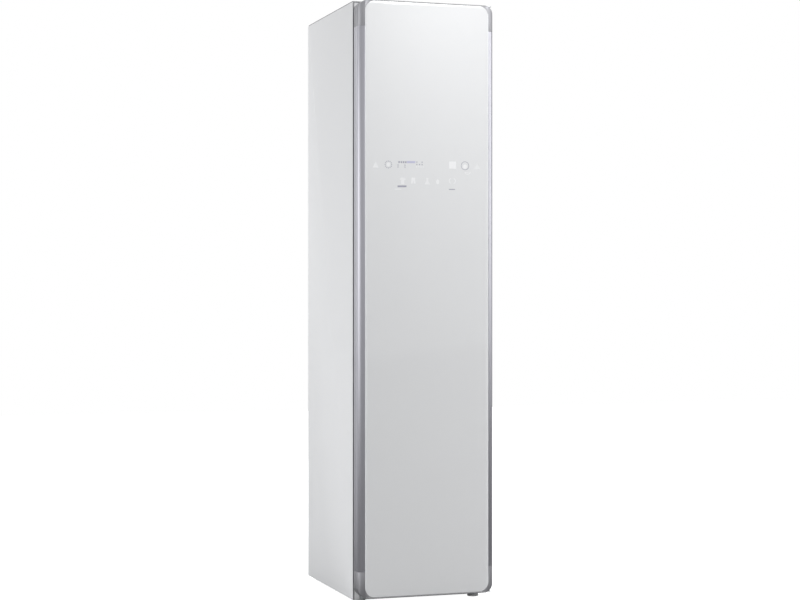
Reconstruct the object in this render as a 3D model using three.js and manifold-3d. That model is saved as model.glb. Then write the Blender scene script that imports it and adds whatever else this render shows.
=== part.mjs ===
// Clothes care steam cabinet: a tall steel closet with a glass-fronted door. Millimetres, +Z up.
// The front faces -Y, the hinge side is +X, and the origin is on the floor under the middle.
import * as THREE from 'three';
import { mergeVertices } from 'three/addons/utils/BufferGeometryUtils.js';
import Module from 'manifold-3d';

const wasm = await Module();
wasm.setup();

// Whole object
const cabinetWidth = 440;
const cabinetDepth = 585; // glass front to steel back
const cabinetHeight = 1850;
const fit = 0.3; // clearance between pieces that touch
const overrun = 2; // how far a cutting shape runs past the face it cuts

// Steel skin
const sheet = 1.2;
const baseHeight = 12; // underside of the base above the floor
const frontFlange = 22;
const rearFlange = 14;
const bendRadius = 10; // rear top bend
const topFold = 10; // full-width part of the top panel's folds
const topFlange = 22;
const rearSeam = 470; // where the upper back panel meets the machine cover
const pressingWidth = 58;
const pressingDepth = 1.1;
const pressingSlope = 8;

// Door
const doorThickness = 55.5;
const doorGap = 10.5; // the gasket fills it
const doorFloorGap = 25;
const doorTopDrop = 3;
const doorCornerRadius = 33;
const glassThickness = 4;
const glassProud = 1;
const glassSideInset = 20.5;
const glassEndInset = 3.5;
const glassCornerRadius = 29;
const stripWidth = 10.8; // flat strip of the frame beside the glass
const stripFall = 5.2; // how far that strip slopes back
const chamferDepth = 17; // front corner of the side profile, measured along Y
const rearEdgeRadius = 5;
const grooveOffset = 19; // from the door's rear face
const grooveWidth = 1.6;
const grooveDepth = 1.4;
const capHeight = 80; // length of a cap's legs
const railWidth = 20; // side profile, from the outer face to the core
const endRail = 22; // cap thickness above and below the core
const skinDepth = 3; // door liner sheet
const linerStep = 10; // the raised field of the door liner enters the cabin this far
const tankRecess = 25; // the liner steps back here, in front of the tanks
const recessDrop = 1.5; // floor of that recess below the bay's floor
const gasketWidth = 14;
const gasketInset = 9; // from the door's outer edge
const gasketGroove = 3;

// Door hinge
const pinRadius = 4;
const pinLength = 12;
const hingeSideInset = 8; // pin axis from the door's outer side
const hingeBackInset = 20; // pin axis from the door's rear face
const bracketSheet = 2.5;
const bracketReach = 12; // bracket plate around the pin
const bracketWidth = 46;
const bracketDrop = 11;

// Control board behind the glass
const boardHeight = 120;
const boardDrop = 535; // middle of the board below the door's top
const boardSideInset = 24;
const boardThickness = 6;

// Cabin liner
const linerWall = 2.5;
const wallInsulation = 24;
const backInsulation = 24;
const ceilingDepth = 50;
const linerBottom = 480;
const floorTop = 506;
const floorThickness = 7;
const ledgeWidth = 8;
const ledgeHeight = 8;

// Shelf and its rests
const shelfLevel = 545;
const shelfThickness = 8;
const shelfFrontGap = 86; // from the cabin's front
const shelfBackGap = 20;
const restWidth = 9;
const restHeight = 8;
const shelfSlotWidth = 12;
const shelfSlotMargin = 34;

// Tank bay and tanks
const bayBottom = 55.3;
const bayTop = 455;
const bayShare = 156 / 519; // depth of the bay, as a share of the body's depth
const bayDivider = 3;
const tankSideGap = 3.5;
const tankFrontGap = 14;
const tankWall = 2.5;
const tankHeight = 292;
const tankRadius = 16;
const tankBackGap = 4;
const gripWidth = 70;
const gripHeight = 24;
const gripDepth = 14;
const lidThickness = 12;
const lidPlug = 9;
const earThickness = 5;
const earHeight = 12;
const earRadius = 6;
const handlePinRadius = 2.6;
const handleSpan = 110;
const handleLength = 52;
const handleBar = 8;
const tankTravel = 30;

// Filters in the cabin floor
const filterDepth = 46;
const filterFrontGap = 12;
const filterHeight = 40;
const filterWall = 2;
const lintSideGap = 132.3; // from the cabin's side
const aromaWidth = 62;
const aromaSideGap = 36.3; // from the cabin's side
const filterRim = 4;
const filterRimHeight = 3;
const tabWidth = 26;
const tabHeight = 8;
const tabThickness = 3;
const ductClear = 6;

// Hanger drive
const barDrop = 97.5; // bar axis below the cabin's ceiling
const barSetback = 1.75; // bar axis behind the cabin's middle
const barRadius = 11;
const barEndGap = 17; // from the bar's end to the cabin wall
const barTravel = 14;
const collarRadius = 14;
const collarWidth = 2;
const lugWidth = 26;
const lugThickness = 12;
const lugRise = 35; // top of the lug above the bar's axis
const rockerLength = 60;
const rockerThickness = 6;
const rockerHubRadius = 11;
const rockerPinRadius = 4;
const rockerDrop = 20; // driving pin above the bar's axis
const slotTravel = 5; // room above and below the driving pin
const shaftRadius = 5;
const gearboxWidth = 60;
const gearboxDepth = 26;
const motorRadius = 16;
const motorLength = 52;
const motorSideGap = 8;
const coverWidth = 150;
const coverHeight = 62;
const coverWall = 2.2;
const coverFrontGap = 42;
const coverBackGap = 8;
const coverRadius = 14;
const guideDepth = 44;
const guideWidth = 38;
const guideHeight = 40;

// Hangers
const wireRadius = 2.5;
const hookClear = 0.3;
const neckDrop = 30;
const shoulderEndGap = 49.75; // from the cabin's front and back
const shoulderDrop = 62;
const shoulderThickness = 14;
const shoulderBand = 22;
const shoulderNose = 11;
const trouserEndGap = 79.75;
const trouserDrop = 92;
const trouserBand = 12;
const leftHookGap = 97.3; // hooks from the cabin's sides
const rightHookGap = 132.3;
const trouserHookGap = 74.3;

// Trouser press on the door
const pressWidth = 300;
const pressBottom = 640;
const pressTopDrop = 447; // top of the press below the door's top
const pressRadius = 22;
const pressPlateDepth = 18;
const pressCoverDepth = 14;
const pressPanelWall = 3;
const pressPadWidth = 96;
const pressPadDepth = 6;
const knuckleRadius = 6;
const knuckleLength = 40;
const knucklePinRadius = 3;
const knuckleInset = 120; // outer knuckles from the press's ends
const gripTabWidth = 60;
const gripTabReach = 12;

// Machine room
const baseRim = 30;
const baseSheet = 1.5;
const kickHeight = 43;
const kickReturn = 20;
const louvreRows = 9;
const louvreWidth = 150;
const louvreHeight = 7;
const louvrePitch = 24;
const louvreBottom = 190;
const trayLevel = 285;
const trayThickness = 5;
const traySideGap = 13.8;
const trayRight = 60;
const trayFrontGap = 6.5; // behind the tank bay
const trayBackGap = 7.8;
const trayLip = 12;
const legSize = 16;
const coilSideGap = 26.8;
const coilRight = 48;
const coilHeight = 158;
const coilShare = 58 / 346; // depth of a coil, as a share of the tray's depth
const coilGap = 14;
const coilFrontGap = 10;
const finCount = 14;
const finCore = 16; // solid depth behind each comb of fins
const fanCentreX = -75;
const fanShare = 96 / 346; // fan axis from the tray's back, as a share of its depth
const fanCentreZ = 378;
const wheelShare = 60 / 346; // wheel radius, as a share of the tray's depth
const wheelWidth = 54;
const wheelRim = 7;
const wheelDisc = 2;
const bladeCount = 16;
const bladeThickness = 1.6;
const bladeChord = 14;
const hubRadius = 11;
const fanShaftRadius = 4;
const scrollClear = 8;
const growthShare = 22 / 60; // how much the scroll widens, as a share of the wheel's radius
const scrollWall = 2.5;
const scrollSide = 5;
const outletWidth = 62;
const outletTop = 489.7;
const intakeRadius = 46;
const fanMotorRadius = 32;
const fanMotorLength = 38;
const compressorSideGap = 103.8;
const compressorBackGap = 99.8;
const compressorRadius = 60;
const compressorHeight = 190;
const compressorPlate = 150;
const compressorStand = 9;
const plateSheet = 3;
const boilerSideGap = 100.8;
const boilerBackGap = 103.8;
const boilerWidth = 124;
const boilerDepth = 118;
const boilerHeight = 112;
const boilerRadius = 18;
const spigotRadius = 9;
const spigotHeight = 16;
const pumpX = 20;
const pumpFrontGap = 90.5; // behind the tank bay
const pumpWidth = 62;
const pumpDepth = 78;
const pumpHeight = 54;
const hoseRadius = 6;
const pipeRadius = 4;
const boxDepth = 150;
const boxHeight = 120;
const boxThickness = 34;
const boxBottom = 330;
const nozzleSideGap = 62.3;
const nozzleBackGap = 203;
const nozzleRadius = 26;
const nozzleHeight = 14;
const nozzleNeck = 11;
const lampWidth = 96;
const lampDepth = 30;
const lampThickness = 8;
const lampFrontGap = 76.5;

// Feet
const footInset = 34;
const footRadius = 18;
const studRadius = 5;
const studHeight = 26;
const skidRadius = 16;

// Places that follow from the sizes above
const halfWidth = cabinetWidth / 2;
const frontY = -cabinetDepth / 2;
const backY = cabinetDepth / 2;
const doorBackY = frontY + doorThickness;
const bodyFrontY = doorBackY + doorGap;
const doorBottom = doorFloorGap;
const doorTop = cabinetHeight - doorTopDrop;
const innerHalf = halfWidth - sheet;
const panelHalf = innerHalf - fit;
const flangeEdge = halfWidth - frontFlange;
const backPanelY = backY - sheet - fit;
const linerHalf = innerHalf - wallInsulation;
const cabinHalf = linerHalf - linerWall;
const linerBackY = backPanelY - sheet - fit - backInsulation;
const cabinBackY = linerBackY - linerWall;
const linerTop = cabinetHeight - ceilingDepth;
const cabinTop = linerTop - linerWall;
const ledgeTop = floorTop - floorThickness - fit;
const hingeX = halfWidth - hingeSideInset;
const hingeY = doorBackY - hingeBackInset;
const coreHalf = halfWidth - railWidth;
const linerFaceY = doorBackY + linerStep;
const pressFaceY = linerFaceY + fit;
const bayDepth = (backY - bodyFrontY) * bayShare;
const bayBackY = bodyFrontY + bayDepth;
const roomBackY = backPanelY - sheet;
const barHeight = cabinTop - barDrop;
const barCentreY = (bodyFrontY + cabinBackY) / 2 + barSetback;
const hangerPlaces = [leftHookGap - cabinHalf, cabinHalf - rightHookGap, cabinHalf - trouserHookGap];
const shoulderSpan = cabinBackY - bodyFrontY - shoulderEndGap * 2;
const trouserSpan = cabinBackY - bodyFrontY - trouserEndGap * 2;
const boardCentre = doorTop - boardDrop;
const pressHeight = doorTop - pressTopDrop - pressBottom;
const lintWidth = (cabinHalf - lintSideGap) * 2;
const aromaCentre = aromaSideGap + aromaWidth / 2 - cabinHalf;
const nozzleX = cabinHalf - nozzleSideGap;
const nozzleY = cabinBackY - nozzleBackGap;
const lampCentreY = bodyFrontY + lampFrontGap;
const trayLeft = traySideGap - innerHalf;
const trayFront = bayBackY + trayFrontGap;
const trayBack = roomBackY - trayBackGap;
const trayDepth = trayBack - trayFront;
const coilLeft = coilSideGap - innerHalf;
const coilDepth = trayDepth * coilShare;
const evaporatorFront = trayFront + coilFrontGap;
const condenserFront = evaporatorFront + coilDepth + coilGap;
const fanCentreY = trayBack - trayDepth * fanShare;
const wheelRadius = trayDepth * wheelShare;
const scrollGrowth = wheelRadius * growthShare;
const compressorX = compressorSideGap - innerHalf;
const compressorY = roomBackY - compressorBackGap;
const boilerX = innerHalf - boilerSideGap;
const boilerY = roomBackY - boilerBackGap;
const pumpY = bayBackY + pumpFrontGap;

// Turning a flat outline into a solid along one of the three directions
const alongX = new THREE.Matrix4().makeBasis(
  new THREE.Vector3(0, 1, 0), new THREE.Vector3(0, 0, 1), new THREE.Vector3(1, 0, 0));
const alongY = new THREE.Matrix4().makeBasis(
  new THREE.Vector3(1, 0, 0), new THREE.Vector3(0, 0, 1), new THREE.Vector3(0, -1, 0));

function solid(geometry) {
  geometry.deleteAttribute('normal');
  geometry.deleteAttribute('uv');
  const merged = mergeVertices(geometry);
  const numbers = new wasm.Mesh({
    numProp: 3,
    vertProperties: new Float32Array(merged.attributes.position.array),
    triVerts: new Uint32Array(merged.index.array),
  });
  return new wasm.Manifold(numbers);
}

function join(first, ...others) {
  return others.reduce((whole, next) => whole.add(next), first);
}

function cut(first, ...others) {
  return others.reduce((whole, next) => whole.subtract(next), first);
}

// A block between two corners
function block(x0, x1, y0, y1, z0, z1) {
  const geometry = new THREE.BoxGeometry(x1 - x0, y1 - y0, z1 - z0);
  return solid(geometry.translate((x0 + x1) / 2, (y0 + y1) / 2, (z0 + z1) / 2));
}

// An outline run along Z (drawn in X,Y), along X (drawn in Y,Z) or along Y (drawn in X,Z)
function run(shape, direction, from, to, arcSteps = 3) {
  const geometry = new THREE.ExtrudeGeometry(
    shape, { depth: to - from, bevelEnabled: false, curveSegments: arcSteps });
  if (direction === 'x') {
    return solid(geometry.translate(0, 0, from).applyMatrix4(alongX));
  }
  if (direction === 'y') {
    return solid(geometry.translate(0, 0, -to).applyMatrix4(alongY));
  }
  return solid(geometry.translate(0, 0, from));
}

function outline(points) {
  return new THREE.Shape(points.map(([u, v]) => new THREE.Vector2(u, v)));
}

// A rectangle whose four corners are rounded alike
function roundedOutline(u0, u1, v0, v1, radius) {
  const shape = new THREE.Shape();
  shape.moveTo(u0 + radius, v0);
  shape.lineTo(u1 - radius, v0);
  shape.absarc(u1 - radius, v0 + radius, radius, -Math.PI / 2, 0, false);
  shape.lineTo(u1, v1 - radius);
  shape.absarc(u1 - radius, v1 - radius, radius, 0, Math.PI / 2, false);
  shape.lineTo(u0 + radius, v1);
  shape.absarc(u0 + radius, v1 - radius, radius, Math.PI / 2, Math.PI, false);
  shape.lineTo(u0, v0 + radius);
  shape.absarc(u0 + radius, v0 + radius, radius, Math.PI, Math.PI * 1.5, false);
  return shape;
}

function disc(u, v, radius, sides = 20) {
  const points = [];
  for (let i = 0; i < sides; i += 1) {
    const angle = (i / sides) * Math.PI * 2;
    points.push([u + radius * Math.cos(angle), v + radius * Math.sin(angle)]);
  }
  return outline(points);
}

function rod(direction, u, v, radius, from, to, sides) {
  return run(disc(u, v, radius, sides), direction, from, to);
}

// A profile of [radius, height] pairs turned about Z, listed from the bottom up, then set in place
function turned(profile, x, y, z, sides = 24) {
  const points = profile.map(([radius, height]) => new THREE.Vector2(radius, height));
  const geometry = new THREE.LatheGeometry(points, sides);
  return solid(geometry.applyMatrix4(alongY).translate(x, y, z));
}

// A round hose or wire through a list of places
function hose(places, radius, sides, steps, tension = 0.5) {
  const path = new THREE.CatmullRomCurve3(
    places.map(([x, y, z]) => new THREE.Vector3(x, y, z)), false, 'catmullrom', tension);
  return solid(new THREE.ExtrudeGeometry(
    disc(0, 0, radius, sides), { steps, extrudePath: path, bevelEnabled: false }));
}

const cabinet = new THREE.Group();
const finishes = {
  whiteSteel: { color: 0xd9dcdf, roughness: 0.42, metalness: 0.1 },
  zincSteel: { color: 0xa9adb0, roughness: 0.45, metalness: 0.85 },
  silverGlass: { color: 0xcfd3d6, roughness: 0.12, metalness: 0.35 },
  aluminium: { color: 0xc9ccd0, roughness: 0.28, metalness: 1 },
  greyCap: { color: 0xc2c6ca, roughness: 0.35, metalness: 0.6 },
  whitePlastic: { color: 0xe8e9ea, roughness: 0.5, metalness: 0 },
  greyPlastic: { color: 0x8d9296, roughness: 0.5, metalness: 0 },
  darkPlastic: { color: 0x3a3d40, roughness: 0.55, metalness: 0 },
  clearPlastic: { color: 0xbfd0da, roughness: 0.15, metalness: 0 },
  rubber: { color: 0x9a9d9f, roughness: 0.8, metalness: 0 },
  blackRubber: { color: 0x222324, roughness: 0.85, metalness: 0 },
  foam: { color: 0xe6d9a8, roughness: 0.9, metalness: 0 },
  brightSteel: { color: 0xc8cacc, roughness: 0.22, metalness: 1 },
  copper: { color: 0xb87a55, roughness: 0.3, metalness: 1 },
  blackSteel: { color: 0x1e1f21, roughness: 0.5, metalness: 0.4 },
  board: { color: 0x2f5a3f, roughness: 0.6, metalness: 0 },
};

function add(name, finish, manifold) {
  const data = manifold.getMesh();
  const geometry = new THREE.BufferGeometry();
  geometry.setAttribute('position', new THREE.BufferAttribute(data.vertProperties, 3));
  geometry.setIndex(new THREE.BufferAttribute(data.triVerts, 1));
  geometry.computeVertexNormals();
  const mesh = new THREE.Mesh(geometry, new THREE.MeshStandardMaterial(finishes[finish]));
  mesh.name = name;
  cabinet.add(mesh);
}

// Side panels: one sheet each, folded inward at the front and the rear
function sidePanel(side) {
  const outer = side * halfWidth;
  const inner = side * innerHalf;
  const points = [
    [outer, bodyFrontY], [side * flangeEdge, bodyFrontY],
    [side * flangeEdge, bodyFrontY + sheet], [inner, bodyFrontY + sheet],
    [inner, backY - sheet], [side * (halfWidth - rearFlange), backY - sheet],
    [side * (halfWidth - rearFlange), backY], [outer, backY],
  ];
  const folded = run(outline(side < 0 ? points.reverse() : points), 'z', baseHeight, cabinetHeight);
  const bend = new THREE.Shape();
  bend.moveTo(bodyFrontY - overrun, 0);
  bend.lineTo(backY, 0);
  bend.lineTo(backY, cabinetHeight - bendRadius);
  bend.absarc(backY - bendRadius, cabinetHeight - bendRadius, bendRadius, 0, Math.PI / 2, false);
  bend.lineTo(bodyFrontY - overrun, cabinetHeight);
  const shaped = folded.intersect(run(bend, 'x', -halfWidth - overrun, halfWidth + overrun));
  const roomForTop = block(-innerHalf, innerHalf, bodyFrontY - overrun, backY + overrun,
    cabinetHeight - topFold - fit, cabinetHeight + overrun);
  return cut(shaped, roomForTop);
}
add('side_panel_left', 'whiteSteel', sidePanel(-1));
add('side_panel_right', 'whiteSteel', sidePanel(1));

// Top panel: folded down at the front and rolled down at the rear
function foldedTop(half, frontDrop, rearHalf) {
  const strip = (drop) => {
    const shape = new THREE.Shape();
    const low = cabinetHeight - drop;
    const bendY = backY - bendRadius;
    const bendZ = cabinetHeight - bendRadius;
    shape.moveTo(bodyFrontY, low);
    shape.lineTo(bodyFrontY + sheet, low);
    shape.lineTo(bodyFrontY + sheet, cabinetHeight - sheet);
    shape.lineTo(bendY, cabinetHeight - sheet);
    shape.absarc(bendY, bendZ, bendRadius - sheet, Math.PI / 2, 0, true);
    shape.lineTo(backY - sheet, low);
    shape.lineTo(backY, low);
    shape.lineTo(backY, bendZ);
    shape.absarc(bendY, bendZ, bendRadius, 0, Math.PI / 2, false);
    shape.lineTo(bodyFrontY, cabinetHeight);
    return shape;
  };
  return join(run(strip(topFold), 'x', -half, half),
    run(strip(frontDrop), 'x', -rearHalf, rearHalf));
}
add('top_panel', 'whiteSteel', foldedTop(panelHalf, topFlange, flangeEdge - fit));

// Back panel: flat sheet with two long raised pressings
function backPanel() {
  const front = backPanelY - sheet;
  const left = [];
  const right = [];
  const pressings = [-panelHalf / 2, panelHalf / 2];
  left.push([-panelHalf, backPanelY]);
  right.push([-panelHalf, front]);
  pressings.forEach((middle) => {
    const start = middle - pressingWidth / 2;
    const end = middle + pressingWidth / 2;
    const rise = [[start, 0], [start + pressingSlope, pressingDepth],
      [end - pressingSlope, pressingDepth], [end, 0]];
    rise.forEach(([x, out]) => {
      left.push([x, backPanelY + out]);
      right.push([x, front + out]);
    });
  });
  left.push([panelHalf, backPanelY]);
  right.push([panelHalf, front]);
  const shape = outline([...right, ...left.reverse()]);
  return run(shape, 'z', rearSeam, cabinetHeight - topFlange - fit);
}
add('back_panel', 'zincSteel', backPanel());

// Machine-room cover: louvred sheet below the back panel
function machineCover() {
  const plate = block(-panelHalf, panelHalf, backPanelY - sheet, backPanelY,
    baseHeight + baseRim + fit, rearSeam - fit);
  const slots = [];
  for (let row = 0; row < louvreRows; row += 1) {
    const low = louvreBottom + row * louvrePitch;
    [-1, 1].forEach((side) => {
      const middle = (side * panelHalf) / 2;
      slots.push(block(middle - louvreWidth / 2, middle + louvreWidth / 2,
        backPanelY - sheet - overrun, backPanelY + overrun, low, low + louvreHeight));
    });
  }
  return cut(plate, ...slots);
}
add('machine_cover', 'zincSteel', machineCover());

// Base pan: a tray with two rear skids pressed into it and two holes for the front feet
const footX = halfWidth - footInset;
const footY = bodyFrontY + footInset;
const skidY = backY - footInset;
function basePan() {
  const front = bodyFrontY + sheet + fit;
  const back = backY - sheet - fit;
  const outer = block(-panelHalf, panelHalf, front, back, baseHeight, baseHeight + baseRim);
  const inner = block(-panelHalf + baseSheet, panelHalf - baseSheet, front + baseSheet,
    back - baseSheet, baseHeight + baseSheet, baseHeight + baseRim + overrun);
  const pan = cut(outer, inner);
  const skids = [-1, 1].map((side) => rod('z', side * footX, skidY, skidRadius, 0,
    baseHeight + baseSheet / 2));
  const holes = [-1, 1].map((side) => rod('z', side * footX, footY, studRadius + fit * 2,
    baseHeight - overrun, baseHeight + baseSheet + overrun, 12));
  return cut(join(pan, ...skids), ...holes);
}
add('base_pan', 'zincSteel', basePan());

// Kick plate between the side panels' flanges
function kickPlate() {
  const top = baseHeight + kickHeight;
  const points = [
    [bodyFrontY, baseHeight], [bodyFrontY + sheet, baseHeight],
    [bodyFrontY + sheet, top - sheet], [bodyFrontY + kickReturn, top - sheet],
    [bodyFrontY + kickReturn, top], [bodyFrontY, top],
  ];
  return run(outline(points), 'x', -flangeEdge + fit, flangeEdge - fit);
}
add('kick_plate', 'greyPlastic', kickPlate());

// Front feet: rubber pad with a threaded stud; they screw down to level the cabinet
function frontFoot(side) {
  const top = baseHeight - fit;
  return turned([
    [0, 0], [footRadius, 0], [footRadius, top / 3], [footRadius * 0.72, top],
    [studRadius, top], [studRadius, top + studHeight], [0, top + studHeight],
  ], side * footX, footY, 0, 16);
}
add('foot_front_left', 'blackRubber', frontFoot(-1));
add('foot_front_right', 'blackRubber', frontFoot(1));

// Cabin liner: moulded tub, open at the front and the bottom, with a front lip and shelf rests
const shelfFront = bodyFrontY + shelfFrontGap;
const shelfBack = cabinBackY - shelfBackGap;
function innerLiner() {
  const lipHalf = flangeEdge - fit;
  const lipTop = cabinetHeight - topFlange - fit;
  const tub = block(-linerHalf, linerHalf, bodyFrontY, linerBackY, linerBottom, linerTop);
  const lip = block(-lipHalf, lipHalf, bodyFrontY, bodyFrontY + linerWall, linerBottom, lipTop);
  const room = block(-cabinHalf, cabinHalf, bodyFrontY - overrun, cabinBackY, ledgeTop, cabinTop);
  const mouth = block(-cabinHalf + ledgeWidth, cabinHalf - ledgeWidth, bodyFrontY - overrun,
    cabinBackY - ledgeWidth, linerBottom - overrun, ledgeTop + overrun);
  const under = block(-cabinHalf, cabinHalf, bodyFrontY - overrun, cabinBackY,
    linerBottom - overrun, ledgeTop - ledgeHeight);
  const rests = [-1, 1].map((side) => {
    const outer = side * (cabinHalf + linerWall / 2);
    const inner = side * (cabinHalf - restWidth);
    return block(Math.min(outer, inner), Math.max(outer, inner), shelfFront, shelfBack,
      shelfLevel - fit - restHeight, shelfLevel - fit);
  });
  return join(cut(join(tub, lip), room, mouth, under), ...rests);
}
add('inner_liner', 'whitePlastic', innerLiner());

// Insulation: foam that fills the room between the liner and the steel skin
function insulationFoam() {
  const front = bodyFrontY + linerWall + fit;
  const back = backPanelY - sheet - fit;
  const filled = block(-panelHalf, panelHalf, front, back, linerBottom, cabinetHeight - sheet - fit);
  const tub = block(-linerHalf - fit, linerHalf + fit, front - overrun, linerBackY + fit,
    linerBottom - overrun, linerTop + fit);
  const rearRoll = block(-panelHalf - overrun, panelHalf + overrun, backY - bendRadius,
    backY + overrun, cabinetHeight - bendRadius, cabinetHeight + overrun);
  return cut(filled, tub, rearRoll);
}
add('insulation_foam', 'foam', insulationFoam());

// Cabin floor: plate on the liner's ledge, with ports for both filters, the nozzle and the fan
const filterFront = bodyFrontY + filterFrontGap;
const filterBack = filterFront + filterDepth;
function cabinFloor() {
  const low = floorTop - floorThickness;
  const plate = block(-cabinHalf + fit, cabinHalf - fit, bodyFrontY + fit, cabinBackY - fit,
    low, floorTop);
  const port = (middle, width) => block(middle - width / 2 - fit, middle + width / 2 + fit,
    filterFront - fit, filterBack + fit, low - overrun, floorTop + overrun);
  const cuts = [port(0, lintWidth), port(aromaCentre, aromaWidth)];
  cuts.push(rod('z', nozzleX, nozzleY, nozzleNeck + fit, low - overrun, floorTop + overrun, 16));
  const slots = 5;
  const pitch = outletWidth / slots;
  for (let i = 0; i < slots; i += 1) {
    const y = fanCentreY + scrollClear + i * pitch;
    cuts.push(block(fanCentreX - wheelWidth / 2, fanCentreX + wheelWidth / 2,
      y, y + pitch / 2, low - overrun, floorTop + overrun));
  }
  return cut(plate, ...cuts);
}
add('cabin_floor', 'whitePlastic', cabinFloor());

// Filters: open-topped cassettes with a rim and a pull tab, dropped into the floor's ports
function filterCassette(middle, width) {
  const half = width / 2 - fit;
  const top = floorTop + fit;
  const low = top - filterHeight;
  const front = filterFront + fit;
  const back = filterBack - fit;
  const body = block(middle - half, middle + half, front, back, low, top + filterRimHeight);
  const rim = block(middle - half - filterRim, middle + half + filterRim, front - filterRim,
    back + filterRim, top, top + filterRimHeight);
  const hollow = block(middle - half + filterWall, middle + half - filterWall, front + filterWall,
    back - filterWall, low + filterWall, top + filterRimHeight + overrun);
  const y = (front + back) / 2;
  const bridge = block(middle - half + filterWall / 2, middle + half - filterWall / 2,
    y - tabThickness, y + tabThickness, top - filterRimHeight, top + filterRimHeight);
  const tab = block(middle - tabWidth / 2, middle + tabWidth / 2, y - tabThickness / 2,
    y + tabThickness / 2, top, top + filterRimHeight + tabHeight);
  const windows = [-1, 1].map((side) => block(middle + side * (half / 2) - half / 3,
    middle + side * (half / 2) + half / 3, front - overrun, back + overrun,
    low + filterWall * 3, top - filterRimHeight * 3));
  return join(cut(join(body, rim), hollow, ...windows), bridge, tab);
}
add('lint_filter', 'greyPlastic', filterCassette(0, lintWidth));
add('aroma_filter', 'darkPlastic', filterCassette(aromaCentre, aromaWidth));

// Steam nozzle: domed outlet in the floor, its neck takes the hose from below
const nozzleFoot = linerBottom - spigotRadius;
function steamNozzle() {
  const base = floorTop + fit;
  const body = turned([
    [0, nozzleFoot], [nozzleNeck, nozzleFoot], [nozzleNeck, base], [nozzleRadius, base],
    [nozzleRadius, base + nozzleHeight / 3], [nozzleRadius * 0.7, base + nozzleHeight * 0.85],
    [0, base + nozzleHeight],
  ], nozzleX, nozzleY, 0, 16);
  const bore = rod('z', nozzleX, nozzleY, nozzleNeck - linerWall, nozzleFoot - overrun,
    base + nozzleHeight / 2, 12);
  const slot = block(nozzleX - nozzleNeck, nozzleX + nozzleNeck, nozzleY - linerWall,
    nozzleY + linerWall, base + nozzleHeight / 3, base + nozzleHeight + overrun);
  return cut(body, bore, slot);
}
add('steam_nozzle', 'greyPlastic', steamNozzle());

// Shelf: slotted plate that lifts off its rests
function shelf() {
  const half = cabinHalf - fit * 2;
  const plate = run(roundedOutline(-half, half, shelfFront, shelfBack, shelfThickness), 'z',
    shelfLevel, shelfLevel + shelfThickness);
  const rim = run(roundedOutline(-half + restWidth, half - restWidth, shelfFront + restWidth,
    shelfBack - restWidth, shelfThickness), 'z', shelfLevel + shelfThickness / 2,
  shelfLevel + shelfThickness + overrun);
  const slots = [];
  const count = 7;
  const pitch = (half * 2 - shelfSlotMargin) / count;
  for (let i = 0; i < count; i += 1) {
    const x = -half + shelfSlotMargin / 2 + pitch * (i + 0.5);
    slots.push(block(x - shelfSlotWidth / 2, x + shelfSlotWidth / 2,
      shelfFront + shelfSlotMargin, shelfBack - shelfSlotMargin,
      shelfLevel - overrun, shelfLevel + shelfThickness + overrun));
  }
  return cut(plate, rim, ...slots);
}
add('shelf', 'whitePlastic', shelf());

// Tank bay: moulded box with two cells, closed off from the cabin by its front lip
function tankBay() {
  const lipHalf = flangeEdge - fit;
  const body = block(-linerHalf, linerHalf, bodyFrontY, bayBackY, bayBottom, bayTop);
  const lip = block(-lipHalf, lipHalf, bodyFrontY, bodyFrontY + linerWall, bayBottom,
    linerBottom - fit);
  const cell = (x0, x1) => block(x0, x1, bodyFrontY - overrun, bayBackY - linerWall,
    bayBottom + linerWall, bayTop - linerWall);
  return cut(join(body, lip), cell(-cabinHalf, -bayDivider / 2), cell(bayDivider / 2, cabinHalf));
}
add('tank_bay', 'greyPlastic', tankBay());

// Tanks: rounded tubs with a finger grip in front, a press-in lid and a folding handle
const tankLow = bayBottom + linerWall + fit;
const tankTop = tankLow + tankHeight;
const tankFrontY = bodyFrontY + tankFrontGap;
const tankBackY = bayBackY - linerWall - tankBackGap;
const lidTop = tankTop + lidThickness;
const earAxisZ = lidTop + earHeight - earRadius;
const earY = (tankFrontY + tankBackY) / 2;

function tankSides(side) {
  const near = bayDivider / 2 + tankSideGap;
  const far = cabinHalf - tankSideGap;
  return side < 0 ? [-far, -near] : [near, far];
}

function tankTub(side) {
  const [x0, x1] = tankSides(side);
  const middle = (x0 + x1) / 2;
  const outer = run(roundedOutline(x0, x1, tankFrontY, tankBackY, tankRadius), 'z', tankLow,
    tankTop, 2);
  const inner = run(roundedOutline(x0 + tankWall, x1 - tankWall, tankFrontY + tankWall,
    tankBackY - tankWall, tankRadius - tankWall), 'z', tankLow + tankWall, tankTop + overrun, 2);
  const gripLow = tankTop - gripHeight * 2;
  const pocket = (grow) => run(roundedOutline(middle - gripWidth / 2 - grow,
    middle + gripWidth / 2 + grow, gripLow - grow, gripLow + gripHeight + grow, gripHeight / 3),
  'y', tankFrontY - overrun, tankFrontY + gripDepth + grow, 2);
  const shell = cut(outer, inner);
  const within = pocket(tankWall).intersect(outer);
  return cut(join(shell, within), pocket(0));
}

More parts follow.
